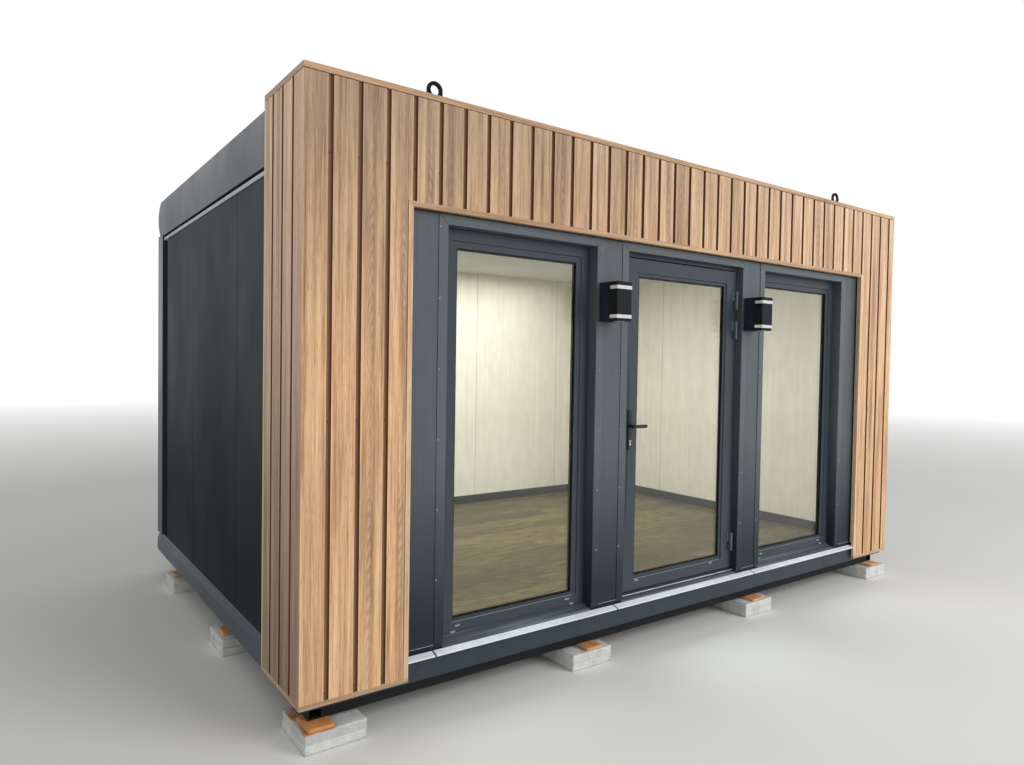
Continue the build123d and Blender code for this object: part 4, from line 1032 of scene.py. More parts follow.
def show(name: str, mesh: bpy.types.Mesh) -> Piece:
    """Puts a mesh in the scene.

    Args:
        name: the object's name.
        mesh: the mesh.

    Returns:
        The object, at the origin.
    """
    made = bpy.data.objects.new(name, mesh)
    bpy.context.scene.collection.objects.link(made)
    return made


def carried(name: str, made: bmesh.types.BMesh, finish: Finish, body: str) -> Piece:
    """Turns finished faces into a piece that rides on a body.

    Args:
        name: the piece's name.
        made: its faces.
        finish: what it is made of.
        body: the body that carries it.

    Returns:
        The piece.
    """
    mesh = bpy.data.meshes.new(name)
    made.to_mesh(mesh)
    made.free()
    mesh.materials.append(finish.make())
    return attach(show(name, mesh), body)


class Growth(Nodes):
    """A geometry node tree with named inputs, which turns a guide mesh into a plain mesh."""

    def __init__(self, name: str, values: dict[str, Any]) -> None:
        """Starts a tree with geometry in and out, and an input for each value.

        Args:
            name: the name of the tree and of the piece.
            values: what each named input takes, a size or a turn.
        """
        self.name = name
        self.values = values
        self.tree = bpy.data.node_groups.new(name, "GeometryNodeTree")
        for way in ("INPUT", "OUTPUT"):
            self.tree.interface.new_socket("Geometry", in_out=way, socket_type="NodeSocketGeometry")
        self.sockets = {}
        for key, value in values.items():
            kind = "NodeSocketFloat" if isinstance(value, float) else "NodeSocketVector"
            socket = self.tree.interface.new_socket(key, in_out="INPUT", socket_type=kind)
            self.sockets[key] = socket.identifier
        self.given = self.add("NodeGroupInput").outputs

    def grow(self, last: Any, points: Sequence[Vector], edges: Sequence[tuple[int, int]], finish: Finish,
             body: str) -> Piece:
        """Ends the tree, runs it on a guide mesh and keeps the result as a plain piece.

        Args:
            last: the node that gives the geometry.
            points: the guide's points.
            edges: the guide's edges, or none.
            finish: what the piece is made of.
            body: the body that carries it.

        Returns:
            The piece, at the origin.
        """
        real = self.add("RealizeInstances", [last])
        dressed = self.add("SetMaterial", {"Geometry": real, "Material": finish.make()})
        self.add("NodeGroupOutput", [dressed])
        guide = bpy.data.meshes.new("guide")
        guide.from_pydata(points, edges, [])
        carrier = show("guide", guide)
        modifier = carrier.modifiers.new("growth", "NODES")
        modifier.node_group = self.tree
        for key, value in self.values.items():
            modifier[self.sockets[key]] = value
        bpy.context.view_layer.update()
        evaluated = carrier.evaluated_get(bpy.context.evaluated_depsgraph_get())
        mesh = bpy.data.meshes.new_from_object(evaluated)
        mesh.name = self.name
        carrier.modifiers.remove(modifier)
        bpy.data.objects.remove(carrier)
        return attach(show(self.name, mesh), body)


@dataclass(frozen=True)
class Fixings:
    """Screw heads on washers, one at each guide point, all facing one way."""

    name: str
    finish: Finish
    washer: float
    head: float
    rise: float
    shape: HeadShape = HeadShape.ROUND
    turn: tuple[float, float, float] = (math.pi / 2, 0.0, 0.0)
    washer_share: float = 0.35
    top_share: float = 0.72

    def build(self, points: Sequence[Vector], body: str) -> Piece:
        """Makes the heads and lets them ride on a body.

        Args:
            points: where each head sits on its surface.
            body: the body that carries them.

        Returns:
            The piece.
        """
        growth = Growth(self.name, {
            "Washer Radius": self.washer, "Head Radius": self.head, "Rise": self.rise, "Facing": self.turn,
        })
        given = growth.given
        thin = growth.add("Math", (given["Rise"], self.washer_share), operation="MULTIPLY")
        top = growth.add("Math", (given["Head Radius"], self.top_share), operation="MULTIPLY")
        washer = growth.add("MeshCylinder", {"Vertices": 16, "Radius": given["Washer Radius"], "Depth": thin})
        head = growth.add("MeshCone", {
            "Vertices": self.shape.value, "Radius Top": top, "Radius Bottom": given["Head Radius"],
            "Depth": given["Rise"],
        })
        both = growth.add("JoinGeometry", [washer])
        feed(both, [head])
        placed = growth.add("InstanceOnPoints", {
            "Points": given["Geometry"], "Instance": both, "Rotation": given["Facing"]
        })
        return growth.grow(placed, points, (), self.finish, body)


@dataclass(frozen=True)
class Strips:
    """A strip of rectangular section that follows upright loops or runs, such as a glazing seal.

    Its size across lies in the plane of the wall and its size through points into the wall. On an
    upright run they are the other way round.
    """

    name: str
    finish: Finish
    across: float
    through: float
    closed: bool = False

    def build(self, runs: Sequence[Sequence[Vector]], body: str) -> Piece:
        """Makes the strips and lets them ride on a body.

        Args:
            runs: the corners of each loop or run.
            body: the body that carries them.

        Returns:
            The piece.
        """
        growth = Growth(self.name, {"Across": self.across, "Through": self.through})
        given = growth.given
        path = growth.add("MeshToCurve", {"Mesh": given["Geometry"]})
        profile = growth.add("CurvePrimitiveQuadrilateral", {
            "Width": given["Through"], "Height": given["Across"]
        })
        strip = growth.add("CurveToMesh", {"Curve": path, "Profile Curve": profile, "Fill Caps": True})
        corners: list[Vector] = []
        edges = []
        for run in runs:
            start, count = len(corners), len(run)
            corners += run
            last = count if self.closed else count - 1
            edges += [(start + place, start + (place + 1) % count) for place in range(last)]
        return growth.grow(strip, corners, edges, self.finish, body)


@dataclass(frozen=True)
class Ribs:
    """Fine upright ribs rolled into a facing sheet."""

    name: str
    finish: Finish
    pitch: float = 16 * MM
    width: float = 5 * MM
    rise: float = 0.5 * MM

    def build(self, areas: Sequence[Block], body: str) -> Piece:
        """Makes a rib at each guide point, as tall as its area.

        Args:
            areas: thin boxes on the sheet that the ribs cover, all as tall as one another.
            body: the body that carries them.

        Returns:
            The piece.
        """
        growth = Growth(
            self.name, {"Rib Width": self.width, "Rib Rise": 2 * self.rise, "Rib Height": areas[0].size.z}
        )
        given = growth.given
        rib = growth.add("MeshCylinder", {"Vertices": 10, "Radius": 0.5, "Depth": given["Rib Height"]})
        size = growth.add("CombineXYZ", (given["Rib Width"], given["Rib Rise"], 1.0))
        shaped = growth.add("Transform", {"Geometry": rib, "Scale": size})
        placed = growth.add("InstanceOnPoints", {"Points": given["Geometry"], "Instance": shaped})
        points = []
        for area in areas:
            count = max(int(area.size.x // self.pitch), 1)
            start = area.middle.x - (count - 1) * self.pitch / 2
            points += [Vector((start + rib * self.pitch, area.low.y, area.middle.z)) for rib in range(count)]
        return growth.grow(placed, points, (), self.finish, body)


def dress(finish: Finish, *nodes: str) -> None:
    """Gives CAD nodes a finish.

    Args:
        finish: what they are made of.
        nodes: the nodes' names.
    """
    for name in nodes:
        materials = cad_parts[name].data.materials
        materials.clear()
        materials.append(finish.make())


def soften(radius: float, *nodes: str) -> None:
    """Rounds the sharp edges of CAD nodes by a small radius, as folded and moulded edges are.

    Args:
        radius: the width of the rounding.
        nodes: the nodes' names.
    """
    for name in nodes:
        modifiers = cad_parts[name].modifiers
        weld = modifiers.new("weld", "WELD")
        weld.merge_threshold = WELD
        bevel = modifiers.new("bevel", "BEVEL")
        bevel.width = radius
        bevel.segments = 2
        bevel.limit_method = "ANGLE"
        bevel.angle_limit = math.radians(40)
        bevel.use_clamp_overlap = True


# Sub-assemblies

@dataclass
class Supports:
    """Rough concrete blocks and sawn pads under the cabin."""

    block_step: float = 9 * MM
    pad_step: float = 14 * MM
    block_wear: float = 2.2 * MM
    pad_wear: float = 0.8 * MM
    corner_wear: float = 5 * MM
    at_face: float = 0.1 * MM
    # What the depth of the wear starts from, and how much of the broad and of the fine roughness it takes
    depth_shares: tuple[float, float, float] = (0.5, 0.5, 0.35)
    # The same for the chips along the edges: their start, their roughness, and the least that is left
    chip_shares: tuple[float, float, float] = (0.6, 0.9, 0.15)
    chip_reach: float = 0.55
    # Lumps for each metre in the broad and the fine roughness and in the chipped edges
    lumps: tuple[float, float, float] = (60, 170, 35)

    def build(self) -> Iterator[Piece]:
        """Makes the blocks and the pads in place of their plain solids.

        Yields:
            Each piece.
        """
        for node, step, wear, finish, slot in (
            ("support_blocks", self.block_step, self.block_wear, CONCRETE, "concrete_block"),
            ("timber_shims", self.pad_step, self.pad_wear, SOFTWOOD, "sawn_softwood"),
        ):
            made = bmesh.new()
            for box in solid_boxes(node):
                self.worn_block(made, box, step, wear)
            piece = carried(f"rough_{node}", made, finish, "cabin")
            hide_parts(node)
            yield piece

    def worn_block(self, made: bmesh.types.BMesh, box: Block, step: float, wear: float) -> None:
        """Adds a box, divided and with its faces and corners worn inward.

        Args:
            made: the mesh that takes it.
            box: the plain block.
            step: the size of a face.
            wear: the depth of the worn places.
        """
        counts = [max(int(round(length / step)), 2) for length in box.size]
        known: dict[tuple[int, ...], bmesh.types.BMVert] = {}

        def corner(place: tuple[int, ...]) -> bmesh.types.BMVert:
            """Finds or makes a vertex of the grid.

            Args:
                place: its number along each axis.

            Returns:
                The vertex.
            """
            if place not in known:
                point = Vector(
                    box.low[axis] + box.size[axis] * place[axis] / counts[axis] for axis in range(3)
                )
                known[place] = made.verts.new(self.worn_point(point, box, wear))
            return known[place]

        for axis in range(3):
            first, second = [other for other in range(3) if other != axis]
            for side in (0, counts[axis]):
                for a in range(counts[first]):
                    for b in range(counts[second]):
                        ring = []
                        for da, db in ((0, 0), (1, 0), (1, 1), (0, 1)):
                            place = [0, 0, 0]
                            place[axis], place[first], place[second] = side, a + da, b + db
                            ring.append(corner(tuple(place)))
                        if (side == 0) == (axis != 1):
                            ring.reverse()
                        made.faces.new(ring).smooth = True

    def worn_point(self, point: Vector, box: Block, wear: float) -> Vector:
        """Moves a point of a block inward by its wear.

        Args:
            point: where it is on the plain block.
            box: the plain block.
            wear: the depth of the worn places.

        Returns:
            The moved point.
        """
        inward = Vector((0.0, 0.0, 0.0))
        near = []
        for axis in range(3):
            to_low, to_high = point[axis] - box.low[axis], box.high[axis] - point[axis]
            near.append(min(to_low, to_high))
            if min(to_low, to_high) < self.at_face:
                inward[axis] = 1.0 if to_low < to_high else -1.0
        near.sort()
        broad, fine, chips = (noise.noise(point * lumps) for lumps in self.lumps)
        start, of_broad, of_fine = self.depth_shares
        depth = wear * max(start + of_broad * broad + of_fine * fine, 0.0)
        edge = max(0.0, 1 - near[1] / self.corner_wear)
        start, of_chips, least = self.chip_shares
        chip = max(start + of_chips * chips, least)
        depth += edge * self.corner_wear * self.chip_reach * chip * (wear / self.block_wear)
        return point + inward * depth / max(inward.length, 1.0)


@dataclass
class TimberCladding:
    """Oak-effect boards on the portal, with their trims and hidden screws."""

    pitch: float = 0.137
    first_groove: float = 0.123
    return_first_groove: float = 0.126
    groove_depth: float = 15 * MM
    screw_heights: tuple[float, ...] = (0.245, 1.45, 2.62)
    screw: tuple[float, float, float] = (4 * MM, 3.6 * MM, 1.4 * MM)
    portal_inset: float = 0.528
    trim_width: float = 26 * MM

    def build(self) -> Iterator[Piece]:
        """Dresses the boards and makes the screws.

        Yields:
            Each piece.
        """
        low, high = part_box("cladding_legs")
        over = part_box("cladding_header")[0].z
        front = OakGrainBoards(
            "oak_effect_boards_front", boards=Axis.X, pitch=self.pitch, front=low.y,
            first_groove=low.x + self.first_groove, outer_end=high.x - 0.5 * MM,
        )
        side = OakGrainBoards(
            "oak_effect_boards_sides", boards=Axis.Y, pitch=self.pitch, front=high.x,
            first_groove=low.y + self.return_first_groove,
        )
        upright = OakGrainBoards("oak_effect_trim_upright", pale="ecd0b0", body="d3b08d", deep="ab896a")
        level = OakGrainBoards(
            "oak_effect_trim_level", pale="cfae8c", body="b69474", deep="94755a", grain=Grain.LEVEL
        )
        dress(front, "cladding_legs", "cladding_header")
        dress(side, "cladding_returns")
        dress(upright, "cladding_edge_trims")
        dress(level, "cladding_cap", "cladding_base_trims")
        dress(SOFTWOOD, "cladding_battens")
        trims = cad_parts["cladding_edge_trims"].data
        trims.materials.append(level.make())
        for face in trims.polygons:
            heights = [trims.vertices[place].co.z for place in face.vertices]
            if sum(heights) / len(heights) > over - self.trim_width:
                face.material_index = 1
        yield self.screws(low, high, over)

    def screws(self, low: Vector, high: Vector, over: float) -> Piece:
        """Small screw heads in the bottom of the grooves.

        Args:
            low: the boards' lowest corner.
            high: the boards' highest corner.
            over: the height of the portal's opening.

        Returns:
            The piece.
        """
        points = []
        place = low.x + self.first_groove
        while place < high.x:
            inside = self.portal_inset < place - low.x < high.x - low.x - self.portal_inset
            for height in self.screw_heights:
                if not inside or height > over:
                    points.append(Vector((place, low.y + self.groove_depth, height)))
            place += self.pitch
        return Fixings("groove_screws", BROWN_SCREW, *self.screw).build(points, "cabin")


@dataclass
class FrontWall:
    """The anthracite wall in the portal: ribbed facings, flashings, sills and the cill."""

    skin_reach: float = 2 * MM
    trim: float = 25 * MM
    fold: float = 1.5 * MM
    rib_foot: float = 6 * MM
    screw: tuple[float, float, float] = (5.5 * MM, 4.5 * MM, 2.2 * MM)
    screw_insets: tuple[float, float] = (7 * MM, 22 * MM)
    lowest_screw: float = 0.65
    screw_gap: float = 0.345
    hem: tuple[float, float] = (3 * MM, 2 * MM)
    hem_height: float = 329.5 * MM
    hem_proud: float = 0.5 * MM
    mitre: tuple[float, float] = (1.6 * MM, 0.8 * MM)
    mitre_reach: float = 49 * MM
    # Size, proudness and drop of the black painted shadow strip over the flashings
    shadow_strip: tuple[float, float] = (5 * MM, 4 * MM)
    shadow_strip_proud: float = 1 * MM
    shadow_strip_drop: float = 2.5 * MM
    threshold: tuple[float, float] = (7 * MM, 16 * MM)
    threshold_place: tuple[float, float] = (31 * MM, 28 * MM)
    threshold_inset: float = 3 * MM
    # How far in from the cill's front and up from its foot each corner of the painted shadow strip lies, in
    # mm
    shadow_section: tuple[tuple[float, float], ...] = ((1.0, 1.0), (1.0, 5.3), (38.0, 15.8), (38.0, 13.5))

    def build(self) -> Iterator[Piece]:
        """Dresses the wall and makes what is fixed to it.

        Yields:
            Each piece.
        """
        low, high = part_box("floor_deck")
        reach = {
            "room_low": (low.x - self.skin_reach, low.y - self.skin_reach),
            "room_high": (high.x + self.skin_reach, high.y + self.skin_reach),
        }
        # Lit and shaded copies of one anthracite steel: painted light makes the front paler, painted shade
        # makes the sides darker, and painted shade darkens all three towards the foot
        front = PanelSkins(
            "insulated_panel_skins_front_painted_light", paint_colour="464e54", ior=1.58, foot_shade_share=0.9, **reach
        )
        shaded_sides = PanelSkins(
            "insulated_panel_skins", paint_colour="253538", roughness=0.5, ior=1.16, foot_shade_share=0.8,
            foot_shade_colour="131c1f", foot_shade_heights=(2.7, 0.8), **reach,
        )
        rear_foot_shaded = PanelSkins(
            "insulated_panel_skins_rear_painted_shade", paint_colour="343f46", roughness=0.45, ior=1.3, foot_shade_share=0.5,
            foot_shade_colour="202a30", foot_shade_heights=(2.2, 0.5), **reach,
        )
        dress(front, "front_panels", "front_header")
        dress(shaded_sides, "side_walls")
        dress(rear_foot_shaded, "rear_wall")
        dress(SKY_LIT, "opening_surrounds")
        dress(SILL_STEEL, "window_and_door_sills")
        dress(ANTHRACITE, "side_base_rails", "end_base_rails", "rear_corner_posts")
        dress(BLACK_STEEL, "underframe_side_beams", "underframe_end_beams", "floor_joists")
        dress(PALE_CILL, "drip_cill")
        soften(self.fold, "opening_surrounds")
        surrounds = solid_boxes("opening_surrounds")
        facings = list(self.facings(surrounds))
        yield Ribs("facing_ribs", SKY_LIT).build(facings, "cabin")
        yield self.flashing_screws(surrounds)
        yield self.hems(facings)
        yield self.mitres(surrounds)
        yield self.head_shadow(surrounds)
        yield self.threshold_bar()
        yield self.cill_joint_shadows()

    def facings(self, surrounds: Sequence[Block]) -> Iterator[Block]:
        """The strips of wall between the trims and the flashings.

        Args:
            surrounds: the box of each flashing.

        Yields:
            Each strip's box.
        """
        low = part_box("front_panels")[0]
        start, end = (corner.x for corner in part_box("cladding_header"))
        edges = [start + self.trim]
        for surround in surrounds:
            edges += [surround.low.x, surround.high.x]
        edges.append(end - self.trim)
        foot, top = low.z + self.rib_foot, surrounds[0].high.z
        for left, right in zip(edges[::2], edges[1::2]):
            yield Block(Vector((left, low.y, foot)), Vector((right, low.y, top)))

    def flashing_screws(self, surrounds: Sequence[Block]) -> Piece:
        """The painted screws down both borders of each flashing.

        Args:
            surrounds: the box of each flashing.

        Returns:
            The piece.
        """
        points = []
        for surround in surrounds:
            for x in (surround.low.x + self.screw_insets[0], surround.high.x - self.screw_insets[1]):
                height = self.lowest_screw
                while height < surround.high.z:
                    points.append(Vector((x, surround.low.y, height)))
                    height += self.screw_gap
        return Fixings("flashing_screws", PAINTED_SCREW, *self.screw).build(points, "cabin")

    def hems(self, facings: Sequence[Block]) -> Piece:
        """A pale strip along the folded edge at the foot of each facing.

        Args:
            facings: the box of each facing.

        Returns:
            The piece.
        """
        runs = [
            level_run(area.low.x + MM, area.high.x - MM, area.low.y - self.hem_proud, self.hem_height)
            for area in facings
        ]
        return Strips("facing_hems", HEM_STEEL, *self.hem).build(runs, "cabin")

    def mitres(self, surrounds: Sequence[Block]) -> Piece:
        """The lapped mitre at the top corners of each flashing.

        Args:
            surrounds: the box of each flashing.

        Returns:
            The piece.
        """
        runs = []
        for surround in surrounds:
            for x, way in ((surround.low.x, 1), (surround.high.x, -1)):
                outer = Vector((x + way * MM, surround.low.y, surround.high.z - MM))
                runs.append([outer, outer + Vector((way * self.mitre_reach, 0.0, -self.mitre_reach))])
        return Strips("flashing_mitres", RUBBER_AND_SHADOW, *self.mitre).build(runs, "cabin")

    def head_shadow(self, surrounds: Sequence[Block]) -> Piece:
        """A black strip between the flashings and the timber over them: painted shadow where the timber
        shades the flashings' tops.

        Args:
            surrounds: the box of each flashing.

        Returns:
            The piece.
        """
        start, end = (corner.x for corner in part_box("cladding_header"))
        # Painted shadow: a black strip where the timber over the flashings shades their tops
        y, z = surrounds[0].low.y - self.shadow_strip_proud, surrounds[0].high.z - self.shadow_strip_drop
        run = level_run(start + self.trim, end - self.trim, y, z)
        return Strips("head_shadow_strip", RUBBER_AND_SHADOW, *self.shadow_strip).build([run], "cabin")

    def threshold_bar(self) -> Piece:
        """The bare metal bar along the upper edge of the door's sill.

        Returns:
            The piece.
        """
        sill = solid_boxes("window_and_door_sills")[1]
        y, z = sill.low.y + self.threshold_place[0], sill.low.z + self.threshold_place[1]
        run = level_run(sill.low.x + self.threshold_inset, sill.high.x - self.threshold_inset, y, z)
        return Strips("door_threshold_bar", MILL_METAL, *self.threshold).build([run], "cabin")

    def cill_joint_shadows(self) -> Piece:
        """A black strip that lies in each open joint of the cill, just under its face: painted shadow for the
        shade in the gap.

        Returns:
            The piece.
        """
        lengths = solid_boxes("drip_cill")
        front, foot = lengths[0].low.y, lengths[0].low.z
        made = bmesh.new()
        for left, right in zip(lengths, lengths[1:]):
            ends = [
                [made.verts.new((x, front + inward * MM, foot + up * MM)) for inward, up in self.shadow_section]
                for x in (left.high.x - MM, right.low.x + MM)
            ]
            for number in range(len(self.shadow_section)):
                after = (number + 1) % len(self.shadow_section)
                made.faces.new((ends[0][number], ends[0][after], ends[1][after], ends[1][number]))
            made.faces.new(ends[0][::-1])
            made.faces.new(ends[1])
        bmesh.ops.recalc_face_normals(made, faces=made.faces)
        return carried("cill_joint_shadow_strips", made, RUBBER_AND_SHADOW, "cabin")


@dataclass
class Glazing:
    """Windows and their seals, spacers and drain caps."""

    moulded_edge: float = 2.5 * MM
    gasket: tuple[float, float] = (3 * MM, 9.5 * MM)
    gasket_inset: float = 13 * MM
    gasket_seat: float = 0.3 * MM
    # Size, setback and end insets of the pale grey painted highlight strip under each pane
    highlight_strip: tuple[float, float] = (3 * MM, 1.6 * MM)
    highlight_setback: float = 18.3 * MM
    highlight_ends: tuple[float, float] = (2 * MM, 8 * MM)
    window_highlight_drop: float = 2.5 * MM
    door_highlight_drop: float = 8.5 * MM
    inner_seal: tuple[float, float] = (5 * MM, 3 * MM)
    inner_inset: float = 14.5 * MM
    spacer: tuple[float, float] = (10 * MM, 16 * MM)
    spacer_inset: float = 17 * MM
    # How far in from a side, right ones with a minus, and up from the foot each drain cap sits
    window_drains: tuple[tuple[float, float], ...] = (
        (0.120, 0.042), (0.093, 0.0135), (-0.130, 0.045), (-0.095, 0.0135),
    )
    door_drains: tuple[tuple[float, float], ...] = ((0.115, 0.064), (-0.189, 0.064))
    drain_size: tuple[float, float, float] = (32 * MM, 5 * MM, 11 * MM)
    # A cap's slices: how far from its middle, as a share of its half, and how large
    drain_slices: tuple[tuple[float, float], ...] = (
        (-1.0, 0.35), (-0.9, 0.8), (-0.65, 1.0), (0.65, 1.0), (0.9, 0.8), (1.0, 0.35),
    )

    def build(self) -> Iterator[Piece]:
        """Dresses frames and glass, and makes what seals and drains them.

        Yields:
            Each piece.
        """
        frames = ("window_frames", "door_frame", "door_leaf")
        dress(PVC, *frames)
        soften(self.moulded_edge, *frames)
        dress(GLASS, "window_glass", "door_glass")
        for kind, leaves, drains, drop, body in (
            ("window", "window_frames", self.window_drains, self.window_highlight_drop, "cabin"),
            ("door", "door_leaf", self.door_drains, self.door_highlight_drop, "door"),
        ):
            panes = solid_boxes(f"{kind}_glass")
            before = self.gasket[1] / 2 - self.gasket_seat
            gaskets = [pane.loop(pane.low.y - before, self.gasket_inset) for pane in panes]
            # Painted highlight: a pale grey strip under each pane, for the light caught on the frame's
            # rounded front edge
            edge_highlights = [
                level_run(pane.low.x + self.highlight_ends[0], pane.high.x - self.highlight_ends[1],
                          pane.low.y - self.highlight_setback, pane.low.z - drop)
                for pane in panes
            ]
            inner = [pane.loop(pane.high.y, self.inner_inset) for pane in panes]
            spacers = [pane.loop(pane.middle.y, self.spacer_inset) for pane in panes]
            for name, finish, section, closed, runs in (
                ("gaskets", RUBBER_AND_SHADOW, self.gasket, True, gaskets),
                ("bead_highlights", EDGE_HIGHLIGHT_GREY, self.highlight_strip, False, edge_highlights),
                ("inner_seals", RUBBER_AND_SHADOW, self.inner_seal, True, inner),
                ("spacers", RUBBER_AND_SHADOW, self.spacer, True, spacers),
            ):
                yield Strips(f"{kind}_{name}", finish, *section, closed).build(runs, body)
            yield self.drain_caps(f"{kind}_drain_caps", solid_boxes(leaves), drains, body)

    def drain_caps(self, name: str, leaves: Sequence[Block], drains: Sequence[tuple[float, float]],
                   body: str) -> Piece:
        """Small hooded caps over the drain slots: flat tops that slope back to the frame, open below.

        Args:
            name: the piece's name.
            leaves: the box of each frame.
            drains: for each cap, how far it stands in from a side, and up from the foot.
            body: the body that carries them.

        Returns:
            The piece.
        """
        width, proud, drop = self.drain_size
        outline = ((0.0, 0.0), (-proud, -0.25 * drop), (-proud, -0.8 * drop), (0.0, -drop))
        middle = -0.5 * drop
        made = bmesh.new()
        for leaf, (across, up) in ((leaf, drain) for leaf in leaves for drain in drains):
            side = leaf.low.x if across > 0 else leaf.high.x
            place = Vector((side + across, leaf.low.y, leaf.low.z + up))
            ends = [
                [made.verts.new(place + Vector((share * width / 2, y * size, middle + (z - middle) * size)))
                 for y, z in outline]
                for share, size in self.drain_slices
            ]
            for left, right in zip(ends, ends[1:]):
                for number in range(len(outline) - 1):
                    made.faces.new((left[number], left[number + 1], right[number + 1], right[number]))
            made.faces.new(ends[0][::-1])
            made.faces.new(ends[-1])
        return carried(name, made, DRAIN_GREY, body)


@dataclass
class DoorFittings:
    """The door's hinges, handle and lock."""

    keyway_shadow_size: tuple[float, float, float] = (0.6 * MM, 2.2 * MM, 9 * MM)
    lobe: tuple[float, float] = (10 * MM, 19 * MM)
    lobe_steps: int = 10
    screw: tuple[float, float, float] = (3.2 * MM, 2.8 * MM, 1.2 * MM)
    screw_inset: float = 8 * MM
    screw_shares: tuple[float, float] = (0.22, 0.78)
    leaf_thickness: float = 4 * MM

    def build(self) -> Iterator[Piece]:
        """Dresses the fittings and makes the lock's lobe, the dark strips of painted keyway shade and the
        screws.

        Yields:
            Each piece.
        """
        dress(HANDLE_BLACK, "door_handle_plates", "door_lever")
        dress(NICKEL, "lock_cylinder")
        dress(HINGE_GREY, "hinge_frame_halves", "hinge_door_halves")
        barrel = solid_boxes("lock_cylinder")[0]
        yield self.keyway_shadows(barrel)
        yield self.cylinder_lobe(barrel)
        for node, body in (("hinge_frame_halves", "cabin"), ("hinge_door_halves", "door")):
            yield self.hinge_screws(node, body)

    def keyway_shadows(self, barrel: Block) -> Piece:
        """A dark strip on each face of the lock cylinder: painted shade for the keyway.

        Args:
            barrel: the box of the round part.

        Returns:
            The piece.
        """
        deep, wide, tall = self.keyway_shadow_size
        heights = (barrel.middle.z - tall / 2, barrel.middle.z + tall / 2)
        runs = [[Vector((barrel.middle.x, y, z)) for z in heights] for y in (barrel.low.y, barrel.high.y)]
        return Strips("lock_keyway_shadows", RUBBER_AND_SHADOW, deep, wide).build(runs, "door")

    def cylinder_lobe(self, barrel: Block) -> Piece:
        """The narrow lower half of the lock cylinder, under its round barrel.

        Args:
            barrel: the box of the round part.

        Returns:
            The piece.
        """
        radius, drop = self.lobe[0] / 2, self.lobe[1]
        turns = [-math.pi * step / self.lobe_steps for step in range(self.lobe_steps + 1)]
        outline = [(radius * math.cos(turn), radius * math.sin(turn) - drop) for turn in turns]
        outline = [(radius, 0.0), *outline, (-radius, 0.0)]
        made = bmesh.new()
        face = made.faces.new([
            made.verts.new((barrel.middle.x + x, barrel.low.y, barrel.middle.z + z)) for x, z in outline
        ])
        grown = bmesh.ops.extrude_face_region(made, geom=[face])
        moved = [item for item in grown["geom"] if isinstance(item, bmesh.types.BMVert)]
        bmesh.ops.translate(made, verts=moved, vec=(0.0, barrel.size.y, 0.0))
        bmesh.ops.recalc_face_normals(made, faces=made.faces)
        return carried("lock_cylinder_lobe", made, NICKEL, "door")

    def hinge_screws(self, node: str, body: str) -> Piece:
        """Two screws on each hinge leaf.

        Args:
            node: the hinge halves that carry them.
            body: the body that the halves belong to.

        Returns:
            The piece.
        """
        on_frame = node == "hinge_frame_halves"
        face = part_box("door_frame" if on_frame else "door_leaf")[0].y - self.leaf_thickness
        points = []
        for half in solid_boxes(node):
            x = half.high.x - self.screw_inset if on_frame else half.low.x + self.screw_inset
            points += [Vector((x, face, half.low.z + share * half.size.z)) for share in self.screw_shares]
        return Fixings(f"{node}_screws", ZINC, *self.screw).build(points, body)


@dataclass
class WallLights:
    """Up-and-down lights with bright bands and frosted lenses."""

    lens: tuple[float, float, float] = (33 * MM, 30 * MM, 2 * MM)

    def build(self) -> Iterator[Piece]:
        """Dresses the lights and makes their lenses.

        Yields:
            The lenses.
        """
        dress(MOUNT_GREY, "light_mounts")
        dress(LAMP_BLACK, "light_bodies")
        dress(CHROME, "light_bands")
        points = []
        for lamp in solid_boxes("light_bodies"):
            points += [Vector((lamp.middle.x, lamp.middle.y, z)) for z in (lamp.low.z, lamp.high.z)]
        yield Fixings("light_lenses", LENS, *self.lens, turn=(0.0, 0.0, 0.0)).build(points, "cabin")


@dataclass
class Roof:
    """Fascias, ribbed sheet, eyes and their fixings, and the lip and ceiling under them."""

    rib_pitch: float = 0.25
    rows: int = 5
    screw: tuple[float, float, float] = (9 * MM, 5 * MM, 6 * MM)

    def build(self) -> Iterator[Piece]:
        """Dresses the roof and makes its screws.

        Yields:
            The screws.
        """
        dress(ANTHRACITE, "side_fascias", "rear_fascia", "front_roof_beam", "roof_sheet")
        dress(BLACK_STEEL, "roof_frame", "lifting_eyes")
        dress(PALE_STEEL, "wall_lip")
        dress(CEILING, "ceiling")
        low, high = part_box("roof_sheet")
        span = high.x - low.x
        count = int(span // self.rib_pitch)
        start = low.x + (span - (count - 1) * self.rib_pitch) / 2
        points = []
        for row in range(self.rows):
            y = low.y + (high.y - low.y) * (row + 0.5) / self.rows
            points += [Vector((start + number * self.rib_pitch, y, high.z)) for number in range(count)]
        screws = Fixings("roof_screws", ZINC, *self.screw, shape=HeadShape.HEX, turn=(0.0, 0.0, 0.0))
        yield screws.build(points, "cabin")


@dataclass
class Room:
    """What shows indoors."""

    def build(self) -> Iterator[Piece]:
        """Dresses the floor and the skirting.

        Yields:
            The floor.
        """
        dress(LAMINATE, "floor_deck")
        dress(SKIRTING, "skirting")
        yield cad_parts["floor_deck"]


# Studio

@dataclass(frozen=True)
class Lamp:
    """A large, soft, square lamp, which mirrors and glass don't show."""

    name: str
    place: tuple[float, float, float]
    aim: tuple[float, float, float]
    size: float
    power: float

    def hang(self) -> None:
        """Puts the lamp in the scene."""
        data = bpy.data.lights.new(self.name, "AREA")
        data.energy = self.power
        data.size = self.size
        lamp = bpy.data.objects.new(self.name, data)
        lamp.location = self.place
        lamp.rotation_euler = (Vector(self.aim) - Vector(self.place)).to_track_quat("-Z", "Y").to_euler()
        lamp.visible_camera = lamp.visible_glossy = lamp.visible_transmission = False
        bpy.context.scene.collection.objects.link(lamp)


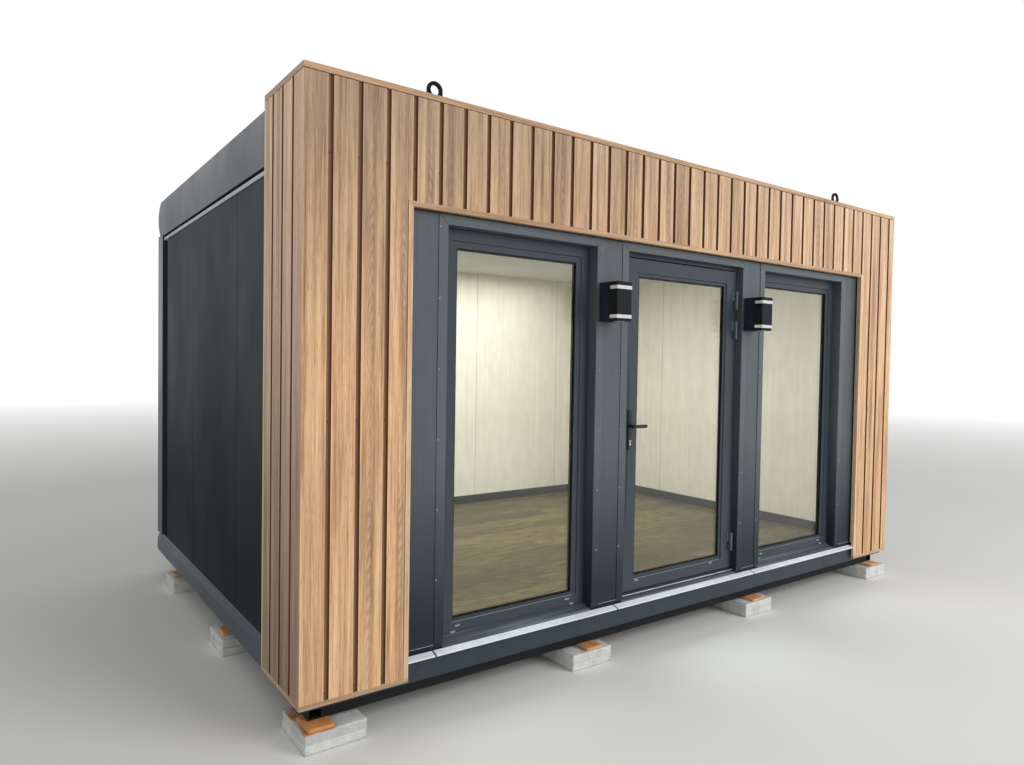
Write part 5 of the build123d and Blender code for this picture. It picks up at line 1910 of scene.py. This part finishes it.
@dataclass
class Surroundings(Nodes):
    """White all round: it lights softly, and shows white to the eye, in mirrors and through glass."""

    ambient: float = 0.5

    def build(self) -> None:
        """Makes the world."""
        world = bpy.data.worlds.new("surroundings")
        bpy.context.scene.world = world
        self.start(world)
        level = self.add("MapRange", (self.eye_rays(), 0.0, 1.0, self.ambient, 1.0))
        sky = self.add("Background", {"Color": "ffffff", "Strength": level})
        self.add("OutputWorld", {"Surface": sky})


@dataclass
class Studio:
    """The camera, the lamps and the pale floor."""

    eye: tuple[float, float, float] = (-3.57090, -4.61117, 1.72018)
    yaw: float = math.radians(36.01546)
    pitch: float = math.radians(-1.55881)
    roll: float = math.radians(0.91234)
    image_width: float = 1024.0
    focal_pixels: float = 718.733
    sensor: float = 36.0
    farthest: float = 200.0
    floor_reach: float = 60.0
    lamps: tuple[Lamp, ...] = (
        Lamp("key_light", (4.5, -12.0, 6.5), (0.0, -1.2, 1.2), 7.0, 960.0),
        Lamp("fill_light", (-11.0, -6.0, 5.0), (-1.0, 0.0, 1.3), 7.0, 85.0),
        Lamp("ceiling_light", (0.0, 0.1, 2.6), (0.0, 0.1, 0.0), 2.4, 78.0),
    )

    def build(self) -> None:
        """Makes everything round the cabin."""
        self.camera()
        for lamp in self.lamps:
            lamp.hang()
        Surroundings().build()
        self.floor()
        bpy.context.scene.view_settings.view_transform = "Standard"

    def camera(self) -> None:
        """Sets the camera where the photograph was taken."""
        ahead = Vector((
            math.sin(self.yaw) * math.cos(self.pitch),
            math.cos(self.yaw) * math.cos(self.pitch),
            math.sin(self.pitch),
        ))
        right = Vector((math.cos(self.yaw), -math.sin(self.yaw), 0.0))
        up = right.cross(ahead)
        rolled_right = right * math.cos(self.roll) + up * math.sin(self.roll)
        rolled_up = up * math.cos(self.roll) - right * math.sin(self.roll)
        data = bpy.data.cameras.new("camera")
        data.sensor_width = self.sensor
        data.lens = self.focal_pixels / self.image_width * self.sensor
        data.clip_end = self.farthest
        camera = bpy.data.objects.new("camera", data)
        turned = Matrix((rolled_right, rolled_up, -ahead)).transposed().to_4x4()
        camera.matrix_world = Matrix.Translation(self.eye) @ turned
        bpy.context.scene.collection.objects.link(camera)
        bpy.context.scene.camera = camera

    def floor(self) -> None:
        """Lays the pale floor."""
        mesh = bpy.data.meshes.new("studio_floor")
        far = self.floor_reach
        corners = [(-far, -far, 0.0), (far, -far, 0.0), (far, far, 0.0), (-far, far, 0.0)]
        mesh.from_pydata(corners, [], [(0, 1, 2, 3)])
        mesh.materials.append(StudioFloor("studio_floor").make())
        show("studio_floor", mesh)


def main() -> None:
    """Builds and dresses each sub-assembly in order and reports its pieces."""
    logging.basicConfig(level=logging.INFO, format="%(name)s: %(message)s")
    Studio().build()
    for part in (Supports, TimberCladding, FrontWall, Glazing, DoorFittings, WallLights, Roof, Room):
        for piece in part().build():
            LOG.info("%s: %s, %d faces", part.__name__, piece.name, len(piece.data.polygons))


if __name__ == "__main__":
    main()
